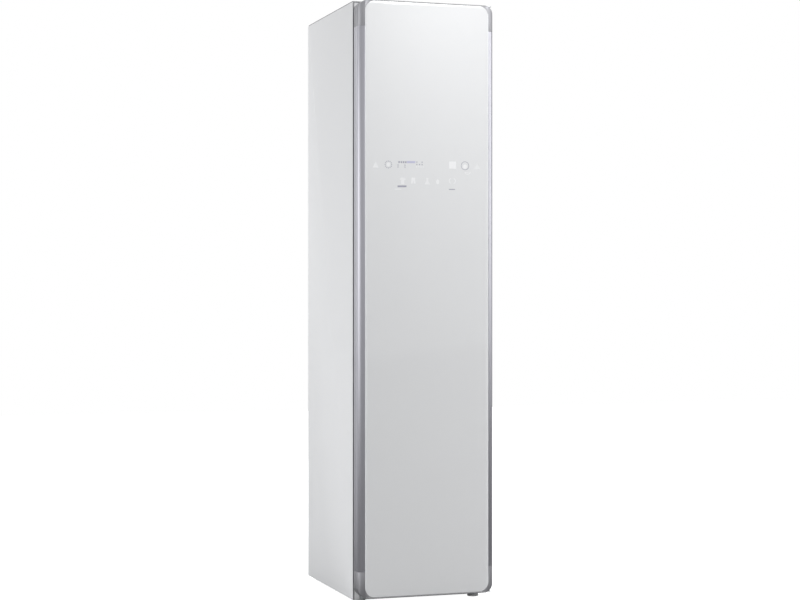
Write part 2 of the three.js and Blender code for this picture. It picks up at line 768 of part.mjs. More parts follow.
function tankLid(side) {
  const [x0, x1] = tankSides(side);
  const middle = (x0 + x1) / 2;
  const low = tankTop + fit;
  const cap = run(roundedOutline(x0, x1, tankFrontY, tankBackY, tankRadius), 'z', low, lidTop, 2);
  const gap = tankWall + fit;
  const plug = run(roundedOutline(x0 + gap, x1 - gap, tankFrontY + gap, tankBackY - gap,
    tankRadius - gap), 'z', tankTop - lidPlug, low + overrun, 2);
  const relief = run(roundedOutline(x0 + gap * 2, x1 - gap * 2, tankFrontY + gap * 2,
    tankBackY - gap * 2, tankRadius - gap * 2), 'z', tankTop - lidPlug - overrun, low, 2);
  const dish = run(roundedOutline(middle - handleSpan / 2 - earRadius * 3,
    middle + handleSpan / 2 + earRadius * 3, tankFrontY + earRadius * 2, tankBackY - earRadius * 2,
    earRadius), 'z', lidTop - lidThickness / 3, lidTop + overrun, 1);
  const ears = [-1, 1].map((end) => {
    const x = middle + (end * handleSpan) / 2;
    const ear = new THREE.Shape();
    ear.moveTo(earY - earRadius, lidTop - lidThickness / 2);
    ear.lineTo(earY + earRadius, lidTop - lidThickness / 2);
    ear.lineTo(earY + earRadius, earAxisZ);
    ear.absarc(earY, earAxisZ, earRadius, 0, Math.PI, false);
    return run(ear, 'x', x - earThickness / 2, x + earThickness / 2, 2);
  });
  const bores = [-1, 1].map((end) => {
    const x = middle + (end * handleSpan) / 2;
    return rod('x', earY, earAxisZ, handlePinRadius + fit, x - earThickness, x + earThickness, 12);
  });
  return cut(join(cut(join(cap, cut(plug, relief)), dish), ...ears), ...bores);
}

// The handle lies flat towards the front; its two pins turn in the lid's ears
function tankHandle(side) {
  const [x0, x1] = tankSides(side);
  const middle = (x0 + x1) / 2;
  const inner = handleSpan / 2 - earThickness / 2 - fit;
  const arm = handleBar;
  const low = earAxisZ - handleBar / 2;
  const high = earAxisZ + handleBar / 2;
  const frontEdge = earY - handleLength;
  const arms = [-1, 1].map((end) => {
    const a = middle + end * inner;
    const b = middle + end * (inner - arm);
    return block(Math.min(a, b), Math.max(a, b), frontEdge, earY + handleBar / 2, low, high);
  });
  const bar = run(roundedOutline(frontEdge - handleBar / 2, frontEdge + handleBar, low, high,
    handleBar / 3), 'x', middle - inner, middle + inner, 2);
  const pins = [-1, 1].map((end) => {
    const a = middle + end * (inner - arm / 2);
    const b = middle + end * (handleSpan / 2 + earThickness / 2);
    return rod('x', earY, earAxisZ, handlePinRadius, Math.min(a, b), Math.max(a, b), 12);
  });
  return join(bar, ...arms, ...pins);
}
add('supply_tank', 'clearPlastic', tankTub(-1));
add('supply_tank_lid', 'whitePlastic', tankLid(-1));
add('supply_tank_handle', 'greyPlastic', tankHandle(-1));
add('drain_tank', 'clearPlastic', tankTub(1));
add('drain_tank_lid', 'whitePlastic', tankLid(1));
add('drain_tank_handle', 'greyPlastic', tankHandle(1));

// Air duct: open trough between the bay's roof and the cabin floor; the filters hang in it
function airDuct() {
  const half = cabinHalf - ledgeWidth - fit;
  const front = bodyFrontY + linerWall + fit;
  const back = evaporatorFront - fit;
  const low = bayTop + fit;
  const high = floorTop - floorThickness - fit;
  const wall = linerWall / 2;
  const body = block(-half, half, front, back, low, high);
  const trough = block(-half + wall, half - wall, front + wall, back - wall, low + wall,
    high + overrun);
  const mouth = block(coilLeft, coilRight, back - wall - overrun, back + overrun,
    low + wall, high - wall * 2);
  return cut(body, trough, mouth);
}
add('air_duct', 'greyPlastic', airDuct());

// Heat-pump tray: moulded table on four legs that carries both coils and the fan
const trayTop = trayLevel + trayThickness;
const panFloor = baseHeight + baseSheet + fit;
function heatPumpTray() {
  const plate = block(trayLeft, trayRight, trayFront, trayBack, trayLevel, trayTop);
  const rim = cut(
    block(trayLeft, trayRight, trayFront, trayBack, trayLevel, trayTop + trayLip),
    block(trayLeft + trayThickness, trayRight - trayThickness, trayFront + trayThickness,
      trayBack - trayThickness, trayLevel - overrun, trayTop + trayLip + overrun));
  const corners = [
    [trayLeft, trayFront], [trayRight - legSize, trayFront],
    [trayLeft, trayBack - legSize], [trayRight - legSize, trayBack - legSize],
  ];
  const legs = corners.map(([x, y]) => block(x, x + legSize, y, y + legSize, panFloor, trayTop));
  return join(plate, rim, ...legs);
}
add('heat_pump_tray', 'greyPlastic', heatPumpTray());

// Coils: a comb of fins on a core, with the pipe bends fused at one end
function finnedCoil(front) {
  const low = trayTop + fit;
  const high = low + coilHeight;
  const body = block(coilLeft, coilRight, front, front + coilDepth, low, high);
  const pitch = (coilRight - coilLeft) / finCount;
  const gaps = [];
  for (let i = 0; i < finCount; i += 1) {
    const x = coilLeft + pitch * (i + 0.25);
    gaps.push(block(x, x + pitch / 2, front - overrun, front + coilDepth - finCore,
      low + coilHeight * 0.08, high - coilHeight * 0.08));
  }
  const bends = [0.25, 0.5, 0.75].map((share) => rod('x', front + coilDepth / 2,
    low + coilHeight * share, pipeRadius, coilRight - overrun, coilRight + pipeRadius * 2, 8));
  return join(cut(body, ...gaps), ...bends);
}
add('evaporator', 'aluminium', finnedCoil(evaporatorFront));
add('condenser', 'aluminium', finnedCoil(condenserFront));

// Fan housing: spiral case around the wheel, with a round intake and a square outlet upward
const fanLeft = fanCentreX - wheelWidth / 2;
const fanRight = fanCentreX + wheelWidth / 2;
const outletBack = fanCentreY + wheelRadius + scrollClear + scrollGrowth;
function fanHousing() {
  const low = fanLeft - scrollSide * 2;
  const high = fanRight + scrollSide * 2;
  const disk = (radius, from, to) => rod('x', fanCentreY, fanCentreZ, radius, from, to, 28);
  const reach = wheelRadius + scrollClear;
  const outer = join(disk(reach + scrollWall, low, high),
    block(low, high, fanCentreY, outletBack - scrollGrowth + scrollWall, fanCentreZ, outletTop),
    block(low, high, fanCentreY - reach, fanCentreY + reach, trayTop + fit, fanCentreZ));
  const inner = join(disk(reach, low + scrollWall, high - scrollWall),
    block(low + scrollWall, high - scrollWall, fanCentreY + scrollWall,
      outletBack - scrollGrowth, fanCentreZ, outletTop + overrun));
  const intake = disk(intakeRadius, high - scrollWall - overrun, high + overrun);
  const shaft = rod('x', fanCentreY, fanCentreZ, fanShaftRadius + fit, low - overrun,
    low + scrollWall + overrun, 12);
  return cut(outer, inner, intake, shaft);
}
add('fan_housing', 'darkPlastic', fanHousing());

// Fan wheel: back disc, hub, curved blades and a front ring
function fanWheel() {
  const disk = (radius, from, to, sides) => rod('x', fanCentreY, fanCentreZ, radius, from, to, sides);
  const back = disk(wheelRadius, fanLeft, fanLeft + wheelDisc, 28);
  const hub = disk(hubRadius, fanLeft, fanLeft + wheelWidth / 2, 14);
  const ring = cut(disk(wheelRadius, fanRight - wheelDisc * 2, fanRight, 28),
    disk(wheelRadius - wheelRim, fanRight - wheelDisc * 2 - overrun, fanRight + overrun, 28));
  const blades = [];
  for (let i = 0; i < bladeCount; i += 1) {
    const angle = (i / bladeCount) * Math.PI * 2;
    const blade = new THREE.BoxGeometry(wheelWidth - wheelDisc * 2, bladeChord, bladeThickness);
    blade.rotateX(Math.PI / 5).translate(0, wheelRadius - bladeChord * 0.62, 0).rotateX(angle);
    blades.push(solid(blade.translate(fanCentreX - wheelDisc / 2, fanCentreY, fanCentreZ)));
  }
  const bore = disk(fanShaftRadius + fit, fanLeft - overrun, fanRight + overrun, 12);
  const within = disk(wheelRadius, fanLeft, fanRight, 28);
  return cut(join(back, hub, ring, ...blades).intersect(within), bore);
}
add('fan_wheel', 'greyPlastic', fanWheel());

// Fan motor on the housing's closed side; its shaft carries the wheel
function fanMotor() {
  const face = fanLeft - scrollSide * 2 - fit;
  const can = rod('x', fanCentreY, fanCentreZ, fanMotorRadius, face - fanMotorLength, face, 20);
  const shaft = rod('x', fanCentreY, fanCentreZ, fanShaftRadius, face - overrun,
    fanLeft + wheelWidth / 2 + fit, 12);
  return join(can, shaft);
}
add('fan_motor', 'zincSteel', fanMotor());

// Compressor: welded can on a square mounting plate with four stand-offs
function compressor() {
  const plateLow = panFloor + compressorStand;
  const half = compressorPlate / 2;
  const plate = block(compressorX - half, compressorX + half, compressorY - half,
    compressorY + half, plateLow, plateLow + plateSheet);
  const stands = [[-1, -1], [1, -1], [-1, 1], [1, 1]].map(([sx, sy]) => rod('z',
    compressorX + sx * (half - compressorStand), compressorY + sy * (half - compressorStand),
    compressorStand * 0.7, panFloor, plateLow + plateSheet / 2, 10));
  const low = plateLow + plateSheet / 2;
  const r = compressorRadius;
  const h = compressorHeight;
  const can = turned([
    [0, low], [r * 0.8, low], [r * 0.97, low + h * 0.05], [r, low + h * 0.12],
    [r, low + h * 0.5], [r * 1.03, low + h * 0.51], [r * 1.03, low + h * 0.54],
    [r, low + h * 0.55], [r, low + h * 0.84], [r * 0.9, low + h * 0.94],
    [r * 0.6, low + h], [0, low + h],
  ], compressorX, compressorY, 0, 20);
  return join(plate, can, ...stands);
}
add('compressor', 'blackSteel', compressor());

// Steam generator: ribbed boiler block with a hose spigot on top
function steamGenerator() {
  const x0 = boilerX - boilerWidth / 2;
  const x1 = boilerX + boilerWidth / 2;
  const y0 = boilerY - boilerDepth / 2;
  const y1 = boilerY + boilerDepth / 2;
  const top = panFloor + boilerHeight;
  const body = run(roundedOutline(x0, x1, y0, y1, boilerRadius), 'z', panFloor, top);
  const flange = run(roundedOutline(x0 - boilerRadius / 3, x1 + boilerRadius / 3,
    y0 - boilerRadius / 3, y1 + boilerRadius / 3, boilerRadius), 'z',
  panFloor + boilerHeight * 0.45, panFloor + boilerHeight * 0.55);
  const spigot = rod('z', boilerX, boilerY, spigotRadius, top - overrun, top + spigotHeight, 12);
  return join(body, flange, spigot);
}
add('steam_generator', 'brightSteel', steamGenerator());

// Steam hose from the boiler's spigot up to the nozzle's neck
const boilerTop = panFloor + boilerHeight + spigotHeight;
function steamHose() {
  const low = boilerTop + fit;
  const high = nozzleFoot - fit;
  const rise = high - low;
  return hose([
    [boilerX, boilerY, low], [boilerX, boilerY, low + rise * 0.12],
    [(boilerX + nozzleX) / 2, (boilerY + nozzleY) / 2, low + rise * 0.5],
    [nozzleX, nozzleY, high - rise * 0.12], [nozzleX, nozzleY, high],
  ], spigotRadius, 8, 14);
}
add('steam_hose', 'rubber', steamHose());

// Water pump on the base, between the tank bay and the boiler
function waterPump() {
  const x0 = pumpX - pumpWidth / 2;
  const x1 = pumpX + pumpWidth / 2;
  const body = run(roundedOutline(x0, x1, pumpY - pumpDepth / 2, pumpY + pumpDepth / 2,
    pumpWidth / 6), 'z', panFloor, panFloor + pumpHeight);
  const coil = rod('y', pumpX, panFloor + pumpHeight * 0.6, pumpWidth * 0.42,
    pumpY - pumpDepth * 0.3, pumpY + pumpDepth * 0.3, 16);
  const port = rod('z', pumpX, pumpY - pumpDepth / 3, hoseRadius, panFloor,
    panFloor + pumpHeight + spigotHeight, 10);
  return join(body, coil, port);
}
add('water_pump', 'darkPlastic', waterPump());

// Supply hose from the tank bay's rear wall to the pump
function supplyHose() {
  const [x0, x1] = tankSides(-1);
  const startX = (x0 + x1) / 2;
  const startY = bayBackY + fit;
  const level = panFloor + pumpHeight * 1.5;
  const endZ = panFloor + pumpHeight + spigotHeight + fit;
  const endY = pumpY - pumpDepth / 3;
  return hose([
    [startX, startY, level], [startX, startY + hoseRadius * 2, level],
    [(startX + pumpX) / 2, endY, level + hoseRadius * 2],
    [pumpX, endY, endZ + hoseRadius * 3], [pumpX, endY, endZ],
  ], hoseRadius, 8, 14);
}
add('supply_hose', 'rubber', supplyHose());

// Refrigerant pipe from the compressor's crown up through the tray to the condenser's end
function refrigerantPipe() {
  const low = panFloor + compressorStand + plateSheet / 2 + compressorHeight + fit;
  const endX = coilRight + pipeRadius * 2 + fit;
  const endY = condenserFront + coilDepth / 2;
  const endZ = trayTop + fit + coilHeight / 2;
  const sideX = trayRight + pipeRadius * 4;
  return hose([
    [compressorX, compressorY, low], [compressorX, compressorY, low + pipeRadius * 4],
    [compressorX / 2, compressorY / 2, low + pipeRadius * 9],
    [sideX, endY, low + pipeRadius * 11],
    [sideX + pipeRadius * 3, endY, (low + endZ) / 2],
    [endX + pipeRadius * 4, endY, endZ], [endX, endY, endZ],
  ], pipeRadius, 8, 22);
}
add('refrigerant_pipe', 'copper', refrigerantPipe());

// Control box on the right-hand side panel
function controlBox() {
  const right = innerHalf - fit;
  const outer = block(right - boxThickness, right, 0, boxDepth, boxBottom, boxBottom + boxHeight);
  const lidLine = cut(
    block(right - boxThickness * 0.8, right - boxThickness * 0.7, -overrun, boxDepth + overrun,
      boxBottom - overrun, boxBottom + boxHeight + overrun),
    block(right - boxThickness, right, overrun, boxDepth - overrun, boxBottom + overrun,
      boxBottom + boxHeight - overrun));
  return cut(outer, lidLine);
}
add('control_box', 'greyPlastic', controlBox());

// Hanger bar: collared rod that slides sideways, with a slotted lug for the driving pin
const barHalf = cabinHalf - barEndGap;
const lugTop = barHeight + lugRise;
const pinZ = barHeight + rockerDrop;
const pivotZ = pinZ + rockerLength;
function hangerBar() {
  const bar = rod('x', barCentreY, barHeight, barRadius, -barHalf, barHalf, 16);
  const collars = hangerPlaces.flatMap((x) => [-1, 1].map((side) => {
    const near = x + side * (wireRadius + fit);
    const far = near + side * collarWidth;
    return rod('x', barCentreY, barHeight, collarRadius, Math.min(near, far),
      Math.max(near, far), 16);
  }));
  const lug = run(roundedOutline(-lugWidth / 2, lugWidth / 2, barHeight, lugTop, rockerPinRadius),
    'y', barCentreY - lugThickness / 2, barCentreY + lugThickness / 2);
  const half = rockerPinRadius + fit;
  const slot = run(roundedOutline(-half, half, pinZ - rockerPinRadius - slotTravel / 2,
    pinZ + rockerPinRadius + slotTravel, half * 0.9), 'y', barCentreY - lugThickness,
  barCentreY + lugThickness);
  return cut(join(bar, lug, ...collars), slot);
}
add('hanger_bar', 'brightSteel', hangerBar());

// Bar guides: bearing blocks on the cabin's side walls
function barGuide(side) {
  const wall = side * (cabinHalf - fit);
  const inner = side * (cabinHalf - fit - guideDepth);
  const low = Math.min(wall, inner);
  const high = Math.max(wall, inner);
  const body = run(roundedOutline(barCentreY - guideWidth / 2, barCentreY + guideWidth / 2,
    barHeight - guideHeight / 2, barHeight + guideHeight / 2, guideWidth / 4), 'x', low, high);
  const bore = rod('x', barCentreY, barHeight, barRadius + fit, low - overrun, high + overrun, 20);
  return cut(body, bore);
}
add('bar_guide_left', 'greyPlastic', barGuide(-1));
add('bar_guide_right', 'greyPlastic', barGuide(1));

// Rocker arm: swings on the motor's shaft, its pin drives the lug's slot
const rockerFront = barCentreY + lugThickness / 2 + fit;
const rockerBack = rockerFront + rockerThickness;
function rockerArm() {
  const r = rockerHubRadius;
  const tip = rockerPinRadius * 1.8;
  const arm = new THREE.Shape();
  arm.absarc(0, pivotZ, r, 0, Math.PI, false);
  arm.lineTo(-tip, pinZ);
  arm.absarc(0, pinZ, tip, Math.PI, Math.PI * 2, false);
  const plate = run(arm, 'y', rockerFront, rockerBack, 4);
  const pin = rod('y', 0, pinZ, rockerPinRadius, barCentreY - lugThickness / 2,
    rockerBack - rockerThickness / 2, 16);
  const bore = rod('y', 0, pivotZ, shaftRadius + fit, rockerFront - overrun,
    rockerBack + overrun, 16);
  return cut(join(plate, pin), bore);
}
add('rocker_arm', 'brightSteel', rockerArm());

// Hanger motor: gearbox and motor can under the cabin's ceiling
function hangerMotor() {
  const front = rockerBack + fit;
  const back = front + gearboxDepth;
  const top = cabinTop - fit;
  const box = block(-gearboxWidth / 2, gearboxWidth / 2, front, back, pivotZ - gearboxWidth / 4, top);
  const can = rod('y', 0, pivotZ, motorRadius, back - overrun, back + motorLength, 20);
  const shaft = rod('y', 0, pivotZ, shaftRadius, rockerFront, front + overrun, 16);
  return join(box, can, shaft);
}
add('hanger_motor', 'zincSteel', hangerMotor());

// Drive cover: shroud on the ceiling with a slot that lets the lug and the rocker move
const coverFront = barCentreY - coverFrontGap;
const coverBack = rockerBack + gearboxDepth + motorLength + coverBackGap;
function driveCover() {
  const top = cabinTop - fit;
  const low = top - coverHeight;
  const half = coverWidth / 2;
  const outer = run(roundedOutline(-half, half, coverFront, coverBack, coverRadius), 'z', low, top);
  const inner = run(roundedOutline(-half + coverWall, half - coverWall, coverFront + coverWall,
    coverBack - coverWall, coverRadius - coverWall), 'z', low + coverWall, top + overrun);
  const slotHalf = lugWidth / 2 + barTravel + motorSideGap;
  const slot = block(-slotHalf, slotHalf, barCentreY - lugThickness / 2 - motorSideGap / 2,
    rockerBack + motorSideGap / 2, low - overrun, low + coverWall + overrun);
  return cut(outer, inner, slot);
}
add('drive_cover', 'whitePlastic', driveCover());

// Cabin lamp: lens bar on the ceiling near the door
function cabinLamp() {
  const top = cabinTop - fit;
  return run(roundedOutline(-lampWidth / 2, lampWidth / 2, lampCentreY - lampDepth / 2,
    lampCentreY + lampDepth / 2, lampDepth / 3), 'z', top - lampThickness, top);
}
add('cabin_lamp', 'clearPlastic', cabinLamp());

// Wire hook of a hanger: over the bar, round its front and back under the middle
const hookRadius = barRadius + hookClear + wireRadius;
function hangerHook(x) {
  const places = [];
  const arcSteps = 6;
  for (let i = 0; i <= arcSteps; i += 1) {
    const angle = Math.PI * (1 - i / arcSteps);
    places.push([x, barCentreY + hookRadius * Math.cos(angle),
      barHeight + hookRadius * Math.sin(angle)]);
  }
  places.push([x, barCentreY + hookRadius * 0.72, barHeight - hookRadius * 0.9]);
  places.push([x, barCentreY, barHeight - hookRadius * 1.7]);
  places.push([x, barCentreY, barHeight - neckDrop - wireRadius * 2]);
  return hose(places, wireRadius, 6, 18);
}

// Shoulder hanger: moulded arch with a cut-out under each shoulder
function shoulderHanger(x) {
  const top = barHeight - neckDrop;
  const half = shoulderSpan / 2;
  const arch = (span, high, low, nose) => {
    const shape = new THREE.Shape();
    shape.moveTo(barCentreY - span, low);
    shape.quadraticCurveTo(barCentreY - span * 0.55, high - nose, barCentreY - nose, high);
    shape.lineTo(barCentreY + nose, high);
    shape.quadraticCurveTo(barCentreY + span * 0.55, high - nose, barCentreY + span, low);
    return shape;
  };
  const outer = arch(half, top, top - shoulderDrop, shoulderNose);
  outer.lineTo(barCentreY + half - shoulderNose, top - shoulderDrop - shoulderBand * 0.7);
  outer.quadraticCurveTo(barCentreY, top - shoulderDrop * 0.55 - shoulderBand,
    barCentreY - half + shoulderNose, top - shoulderDrop - shoulderBand * 0.7);
  const body = run(outer, 'x', x - shoulderThickness / 2, x + shoulderThickness / 2, 7);
  const edge = shoulderThickness / 2 - wireRadius;
  const lighten = [-1, 1].map((side) => {
    const y = barCentreY + side * half * 0.36;
    const reach = half * 0.22;
    const z = top - shoulderDrop * 0.52;
    return block(x + edge, x + shoulderThickness, y - reach, y + reach, z - wireRadius,
      z + wireRadius);
  });
  return join(cut(body, ...lighten), hangerHook(x));
}
add('shoulder_hanger_left', 'darkPlastic', shoulderHanger(hangerPlaces[0]));
add('shoulder_hanger_right', 'darkPlastic', shoulderHanger(hangerPlaces[1]));

// Trouser hanger: closed moulded frame; trousers fold over its lower bar
const trouserTop = barHeight - neckDrop;
const trouserLow = trouserTop - trouserDrop;
function trouserHanger(x) {
  const half = trouserSpan / 2;
  const band = trouserBand;
  const frame = (inset, low) => {
    const shape = new THREE.Shape();
    shape.moveTo(barCentreY - half + inset, low);
    shape.lineTo(barCentreY + half - inset, low);
    shape.lineTo(barCentreY + half - inset, low + band * 1.6 - inset);
    shape.lineTo(barCentreY + band - inset / 2, trouserTop - inset);
    shape.lineTo(barCentreY - band + inset / 2, trouserTop - inset);
    shape.lineTo(barCentreY - half + inset, low + band * 1.6 - inset);
    return shape;
  };
  const outer = run(frame(0, trouserLow), 'x', x - band / 2, x + band / 2);
  const gap = run(frame(band, trouserLow + band), 'x', x - band, x + band);
  const bar = run(roundedOutline(barCentreY - half + band / 2, barCentreY + half - band / 2,
    trouserLow, trouserLow + band, band / 3), 'x', x - band * 0.7, x + band * 0.7, 2);
  return join(cut(outer, gap), bar, hangerHook(x));
}
add('trouser_hanger', 'darkPlastic', trouserHanger(hangerPlaces[2]));

// Door shell: the outer body of the frame, cut into two caps and two side profiles
const glassHalf = halfWidth - glassSideInset;
const glassLow = doorBottom + glassEndInset;
const glassHigh = doorTop - glassEndInset;
const glassBackY = frontY + glassThickness;
const frameFrontY = frontY + glassProud;
const coreFrontY = glassBackY + fit;
function doorSection() {
  const corner = rearEdgeRadius;
  const shape = new THREE.Shape();
  const chamferBackY = frameFrontY + chamferDepth;
  const stripX = glassHalf + stripWidth;
  const stripY = frameFrontY + stripFall;
  const cornerX = halfWidth - (halfWidth - stripX) * 0.2;
  const cornerY = stripY + (chamferBackY - stripY) * 0.25;
  const grooveY = doorBackY - grooveOffset;
  shape.moveTo(-glassHalf, frameFrontY);
  shape.lineTo(glassHalf, frameFrontY);
  shape.lineTo(stripX, stripY);
  shape.quadraticCurveTo(cornerX, cornerY, halfWidth, chamferBackY);
  shape.lineTo(halfWidth, grooveY - grooveWidth);
  shape.lineTo(halfWidth - grooveDepth, grooveY - grooveWidth);
  shape.lineTo(halfWidth - grooveDepth, grooveY);
  shape.lineTo(halfWidth, grooveY);
  shape.lineTo(halfWidth, doorBackY - corner);
  shape.absarc(halfWidth - corner, doorBackY - corner, corner, 0, Math.PI / 2, false);
  shape.lineTo(-halfWidth + corner, doorBackY);
  shape.absarc(-halfWidth + corner, doorBackY - corner, corner, Math.PI / 2, Math.PI, false);
  shape.lineTo(-halfWidth, grooveY);
  shape.lineTo(-halfWidth + grooveDepth, grooveY);
  shape.lineTo(-halfWidth + grooveDepth, grooveY - grooveWidth);
  shape.lineTo(-halfWidth, grooveY - grooveWidth);
  shape.lineTo(-halfWidth, chamferBackY);
  shape.quadraticCurveTo(-cornerX, cornerY, -stripX, stripY);
  shape.lineTo(-glassHalf, frameFrontY);
  return shape;
}
const doorFace = run(roundedOutline(-halfWidth, halfWidth, doorBottom, doorTop, doorCornerRadius),
  'y', frontY, doorBackY + overrun, 7);
const glassPocket = run(roundedOutline(-glassHalf - fit, glassHalf + fit, glassLow - fit,
  glassHigh + fit, glassCornerRadius + fit), 'y', frontY - overrun, coreFrontY, 7);
const coreLow = doorBottom + endRail;
const coreHigh = doorTop - endRail;
const corePocket = block(-coreHalf, coreHalf, glassBackY, doorBackY + overrun,
  coreLow, coreHigh);
const hingePocket = rod('z', hingeX, hingeY, pinRadius + fit, doorBottom - overrun,
  doorBottom + pinLength, 16).add(rod('z', hingeX, hingeY, pinRadius + fit, doorTop - pinLength,
  doorTop + overrun, 16));
const doorFrame = cut(run(doorSection(), 'z', doorBottom, doorTop, 3).intersect(doorFace),
  glassPocket, corePocket, hingePocket);
function frameSlice(x0, x1, low, high) {
  return doorFrame.intersect(block(x0, x1, frontY - overrun, doorBackY + overrun, low, high));
}
const wide = halfWidth + overrun;
const lowSeam = doorBottom + capHeight;
const highSeam = doorTop - capHeight;
add('door_cap_bottom', 'greyCap', frameSlice(-wide, wide, doorBottom - overrun, lowSeam));
add('door_cap_top', 'greyCap', frameSlice(-wide, wide, highSeam, doorTop + overrun));
add('door_profile_left', 'aluminium', frameSlice(-wide, 0, lowSeam + fit, highSeam - fit));
add('door_profile_right', 'aluminium', frameSlice(0, wide, lowSeam + fit, highSeam - fit));

// Door glass: one rounded pane over the whole front
add('door_glass', 'silverGlass', run(roundedOutline(-glassHalf, glassHalf, glassLow, glassHigh,
  glassCornerRadius), 'y', frontY, glassBackY, 7));

// Control board in a pocket of the core, straight behind the glass
const boardHalf = coreHalf - boardSideInset;
const boardLow = boardCentre - boardHeight / 2;
const boardHigh = boardCentre + boardHeight / 2;
add('control_board', 'board', block(-boardHalf, boardHalf, coreFrontY, coreFrontY + boardThickness,
  boardLow, boardHigh));

// Door liner: one formed sheet, raised towards the cabin and set back in front of the tanks
const fieldHalf = cabinHalf - linerStep;
const fieldLow = floorTop + linerStep;
const fieldHigh = cabinTop - linerStep;
const recessHalf = cabinHalf;
const recessLow = bayBottom + linerWall - recessDrop;
const recessHigh = bayTop - linerWall;
function doorLiner() {
  const half = coreHalf - fit;
  const low = coreLow + fit;
  const high = coreHigh - fit;
  const back = doorBackY;
  const front = doorBackY - skinDepth;
  const panel = block(-half, half, front, back, low, high);
  const field = run(roundedOutline(-fieldHalf, fieldHalf, fieldLow, fieldHigh, linerStep * 2), 'y',
    front, linerFaceY);
  const behind = run(roundedOutline(-fieldHalf + skinDepth, fieldHalf - skinDepth,
    fieldLow + skinDepth, fieldHigh - skinDepth, linerStep), 'y', front - overrun,
  linerFaceY - skinDepth);
  const well = block(-recessHalf - skinDepth, recessHalf + skinDepth, back - tankRecess - skinDepth,
    back, recessLow - skinDepth, recessHigh + skinDepth);
  const dip = block(-recessHalf, recessHalf, back - tankRecess, back + overrun, recessLow, recessHigh);
  return cut(join(panel, field, well), behind, dip);
}
add('door_liner', 'whitePlastic', doorLiner());

// Door core: rigid foam slab between the glass and the liner
function doorCore() {
  const half = coreHalf - fit;
  const slab = block(-half, half, coreFrontY, doorBackY - skinDepth - fit, coreLow + fit,
    coreHigh - fit);
  const board = block(-boardHalf - fit, boardHalf + fit, coreFrontY - overrun,
    coreFrontY + boardThickness + fit, boardLow - fit, boardHigh + fit);
  const well = block(-recessHalf - skinDepth - fit, recessHalf + skinDepth + fit,
    doorBackY - tankRecess - skinDepth - fit, doorBackY + overrun,
    recessLow - skinDepth - fit, recessHigh + skinDepth + fit);
  return cut(slab, board, well);
}
add('door_core', 'foam', doorCore());

// Gasket: soft frame on the door's rear face, grooved between its two lips
function doorGasket() {
  const outerHalf = halfWidth - gasketInset;
  const low = doorBottom + gasketInset + fit;
  const high = doorTop - gasketInset - fit;
  const back = bodyFrontY - fit;
  const front = doorBackY + fit;
  const ring = (inset, from, to) => run(roundedOutline(-outerHalf + inset, outerHalf - inset,
    low + inset, high - inset, gasketWidth), 'y', from, to, 2);
  const groove = cut(ring(gasketWidth / 2 - gasketGroove / 2, back - gasketGroove, back + overrun),
    ring(gasketWidth / 2 + gasketGroove / 2, back - gasketGroove - overrun, back + overrun * 2));
  return cut(ring(0, front, back), ring(gasketWidth, front - overrun, back + overrun), groove);
}
add('door_gasket', 'rubber', doorGasket());

// Hinge brackets: folded plates on the cabinet's front, each with a pin for the door's caps
function hingeBracket(plateLow, plateHigh, pinFrom, pinTo, flangeLow, flangeHigh) {
  const left = hingeX - bracketWidth + bracketReach / 2;
  const right = halfWidth - fit;
  const back = bodyFrontY - fit;
  const front = hingeY - bracketReach;
  const plate = run(roundedOutline(left, right, front, back, bracketReach / 3), 'z', plateLow,
    plateHigh);
  const flange = block(left, right, back - bracketSheet, back, flangeLow, flangeHigh);
  const pin = rod('z', hingeX, hingeY, pinRadius, pinFrom, pinTo, 16);
  return join(plate, flange, pin);
}
const lowPlate = doorBottom - fit * 2;
const highPlate = doorTop + fit;
add('hinge_bracket_bottom', 'zincSteel', hingeBracket(lowPlate - bracketSheet, lowPlate,
  lowPlate - bracketSheet, doorBottom + pinLength - fit * 2, lowPlate - bracketDrop, lowPlate));
add('hinge_bracket_top', 'zincSteel', hingeBracket(highPlate, highPlate + bracketSheet,
  doorTop - pinLength + fit * 2, highPlate + bracketSheet, highPlate + bracketSheet - bracketDrop,
  highPlate + bracketSheet));

// Trouser press: a base panel on the door with three hinge knuckles and a fixed pin
const pressHalf = pressWidth / 2;
const pressTop = pressBottom + pressHeight;
const plateBackY = pressFaceY + pressPlateDepth;
const coverFrontY = plateBackY + fit;
const coverBackY = coverFrontY + pressCoverDepth;
const knuckleX = pressHalf + knuckleRadius + fit;
const knuckleY = coverFrontY;
const knuckleEnds = [pressBottom + knuckleInset, pressTop - knuckleInset];
function pressPanel(y0, y1) {
  return run(roundedOutline(-pressHalf, pressHalf, pressBottom, pressTop, pressRadius), 'y', y0, y1);
}
function knuckle(low, high, y0, y1) {
  const barrel = rod('z', knuckleX, knuckleY, knuckleRadius, low, high, 16);
  const web = block(pressHalf - pressPanelWall * 2, knuckleX, y0, y1, low, high);
  return join(barrel, web);
}
function pressPlate() {
  const panel = pressPanel(pressFaceY, plateBackY);
  const parts = knuckleEnds.flatMap((z) => [
    knuckle(z - knuckleLength, z, plateBackY - knuckleRadius, plateBackY - fit * 2),
    rod('z', knuckleX, knuckleY, knucklePinRadius, z - knuckleLength / 2, z + knuckleLength, 12),
  ]);
  const pads = [-1, 1].map((side) => {
    const middle = (side * pressHalf) / 2;
    return block(middle - pressPadWidth / 2, middle + pressPadWidth / 2, plateBackY - pressPadDepth,
      plateBackY + overrun, pressBottom + pressRadius, pressTop - pressRadius);
  });
  return join(cut(panel, ...pads), ...parts);
}
add('press_plate', 'whitePlastic', pressPlate());

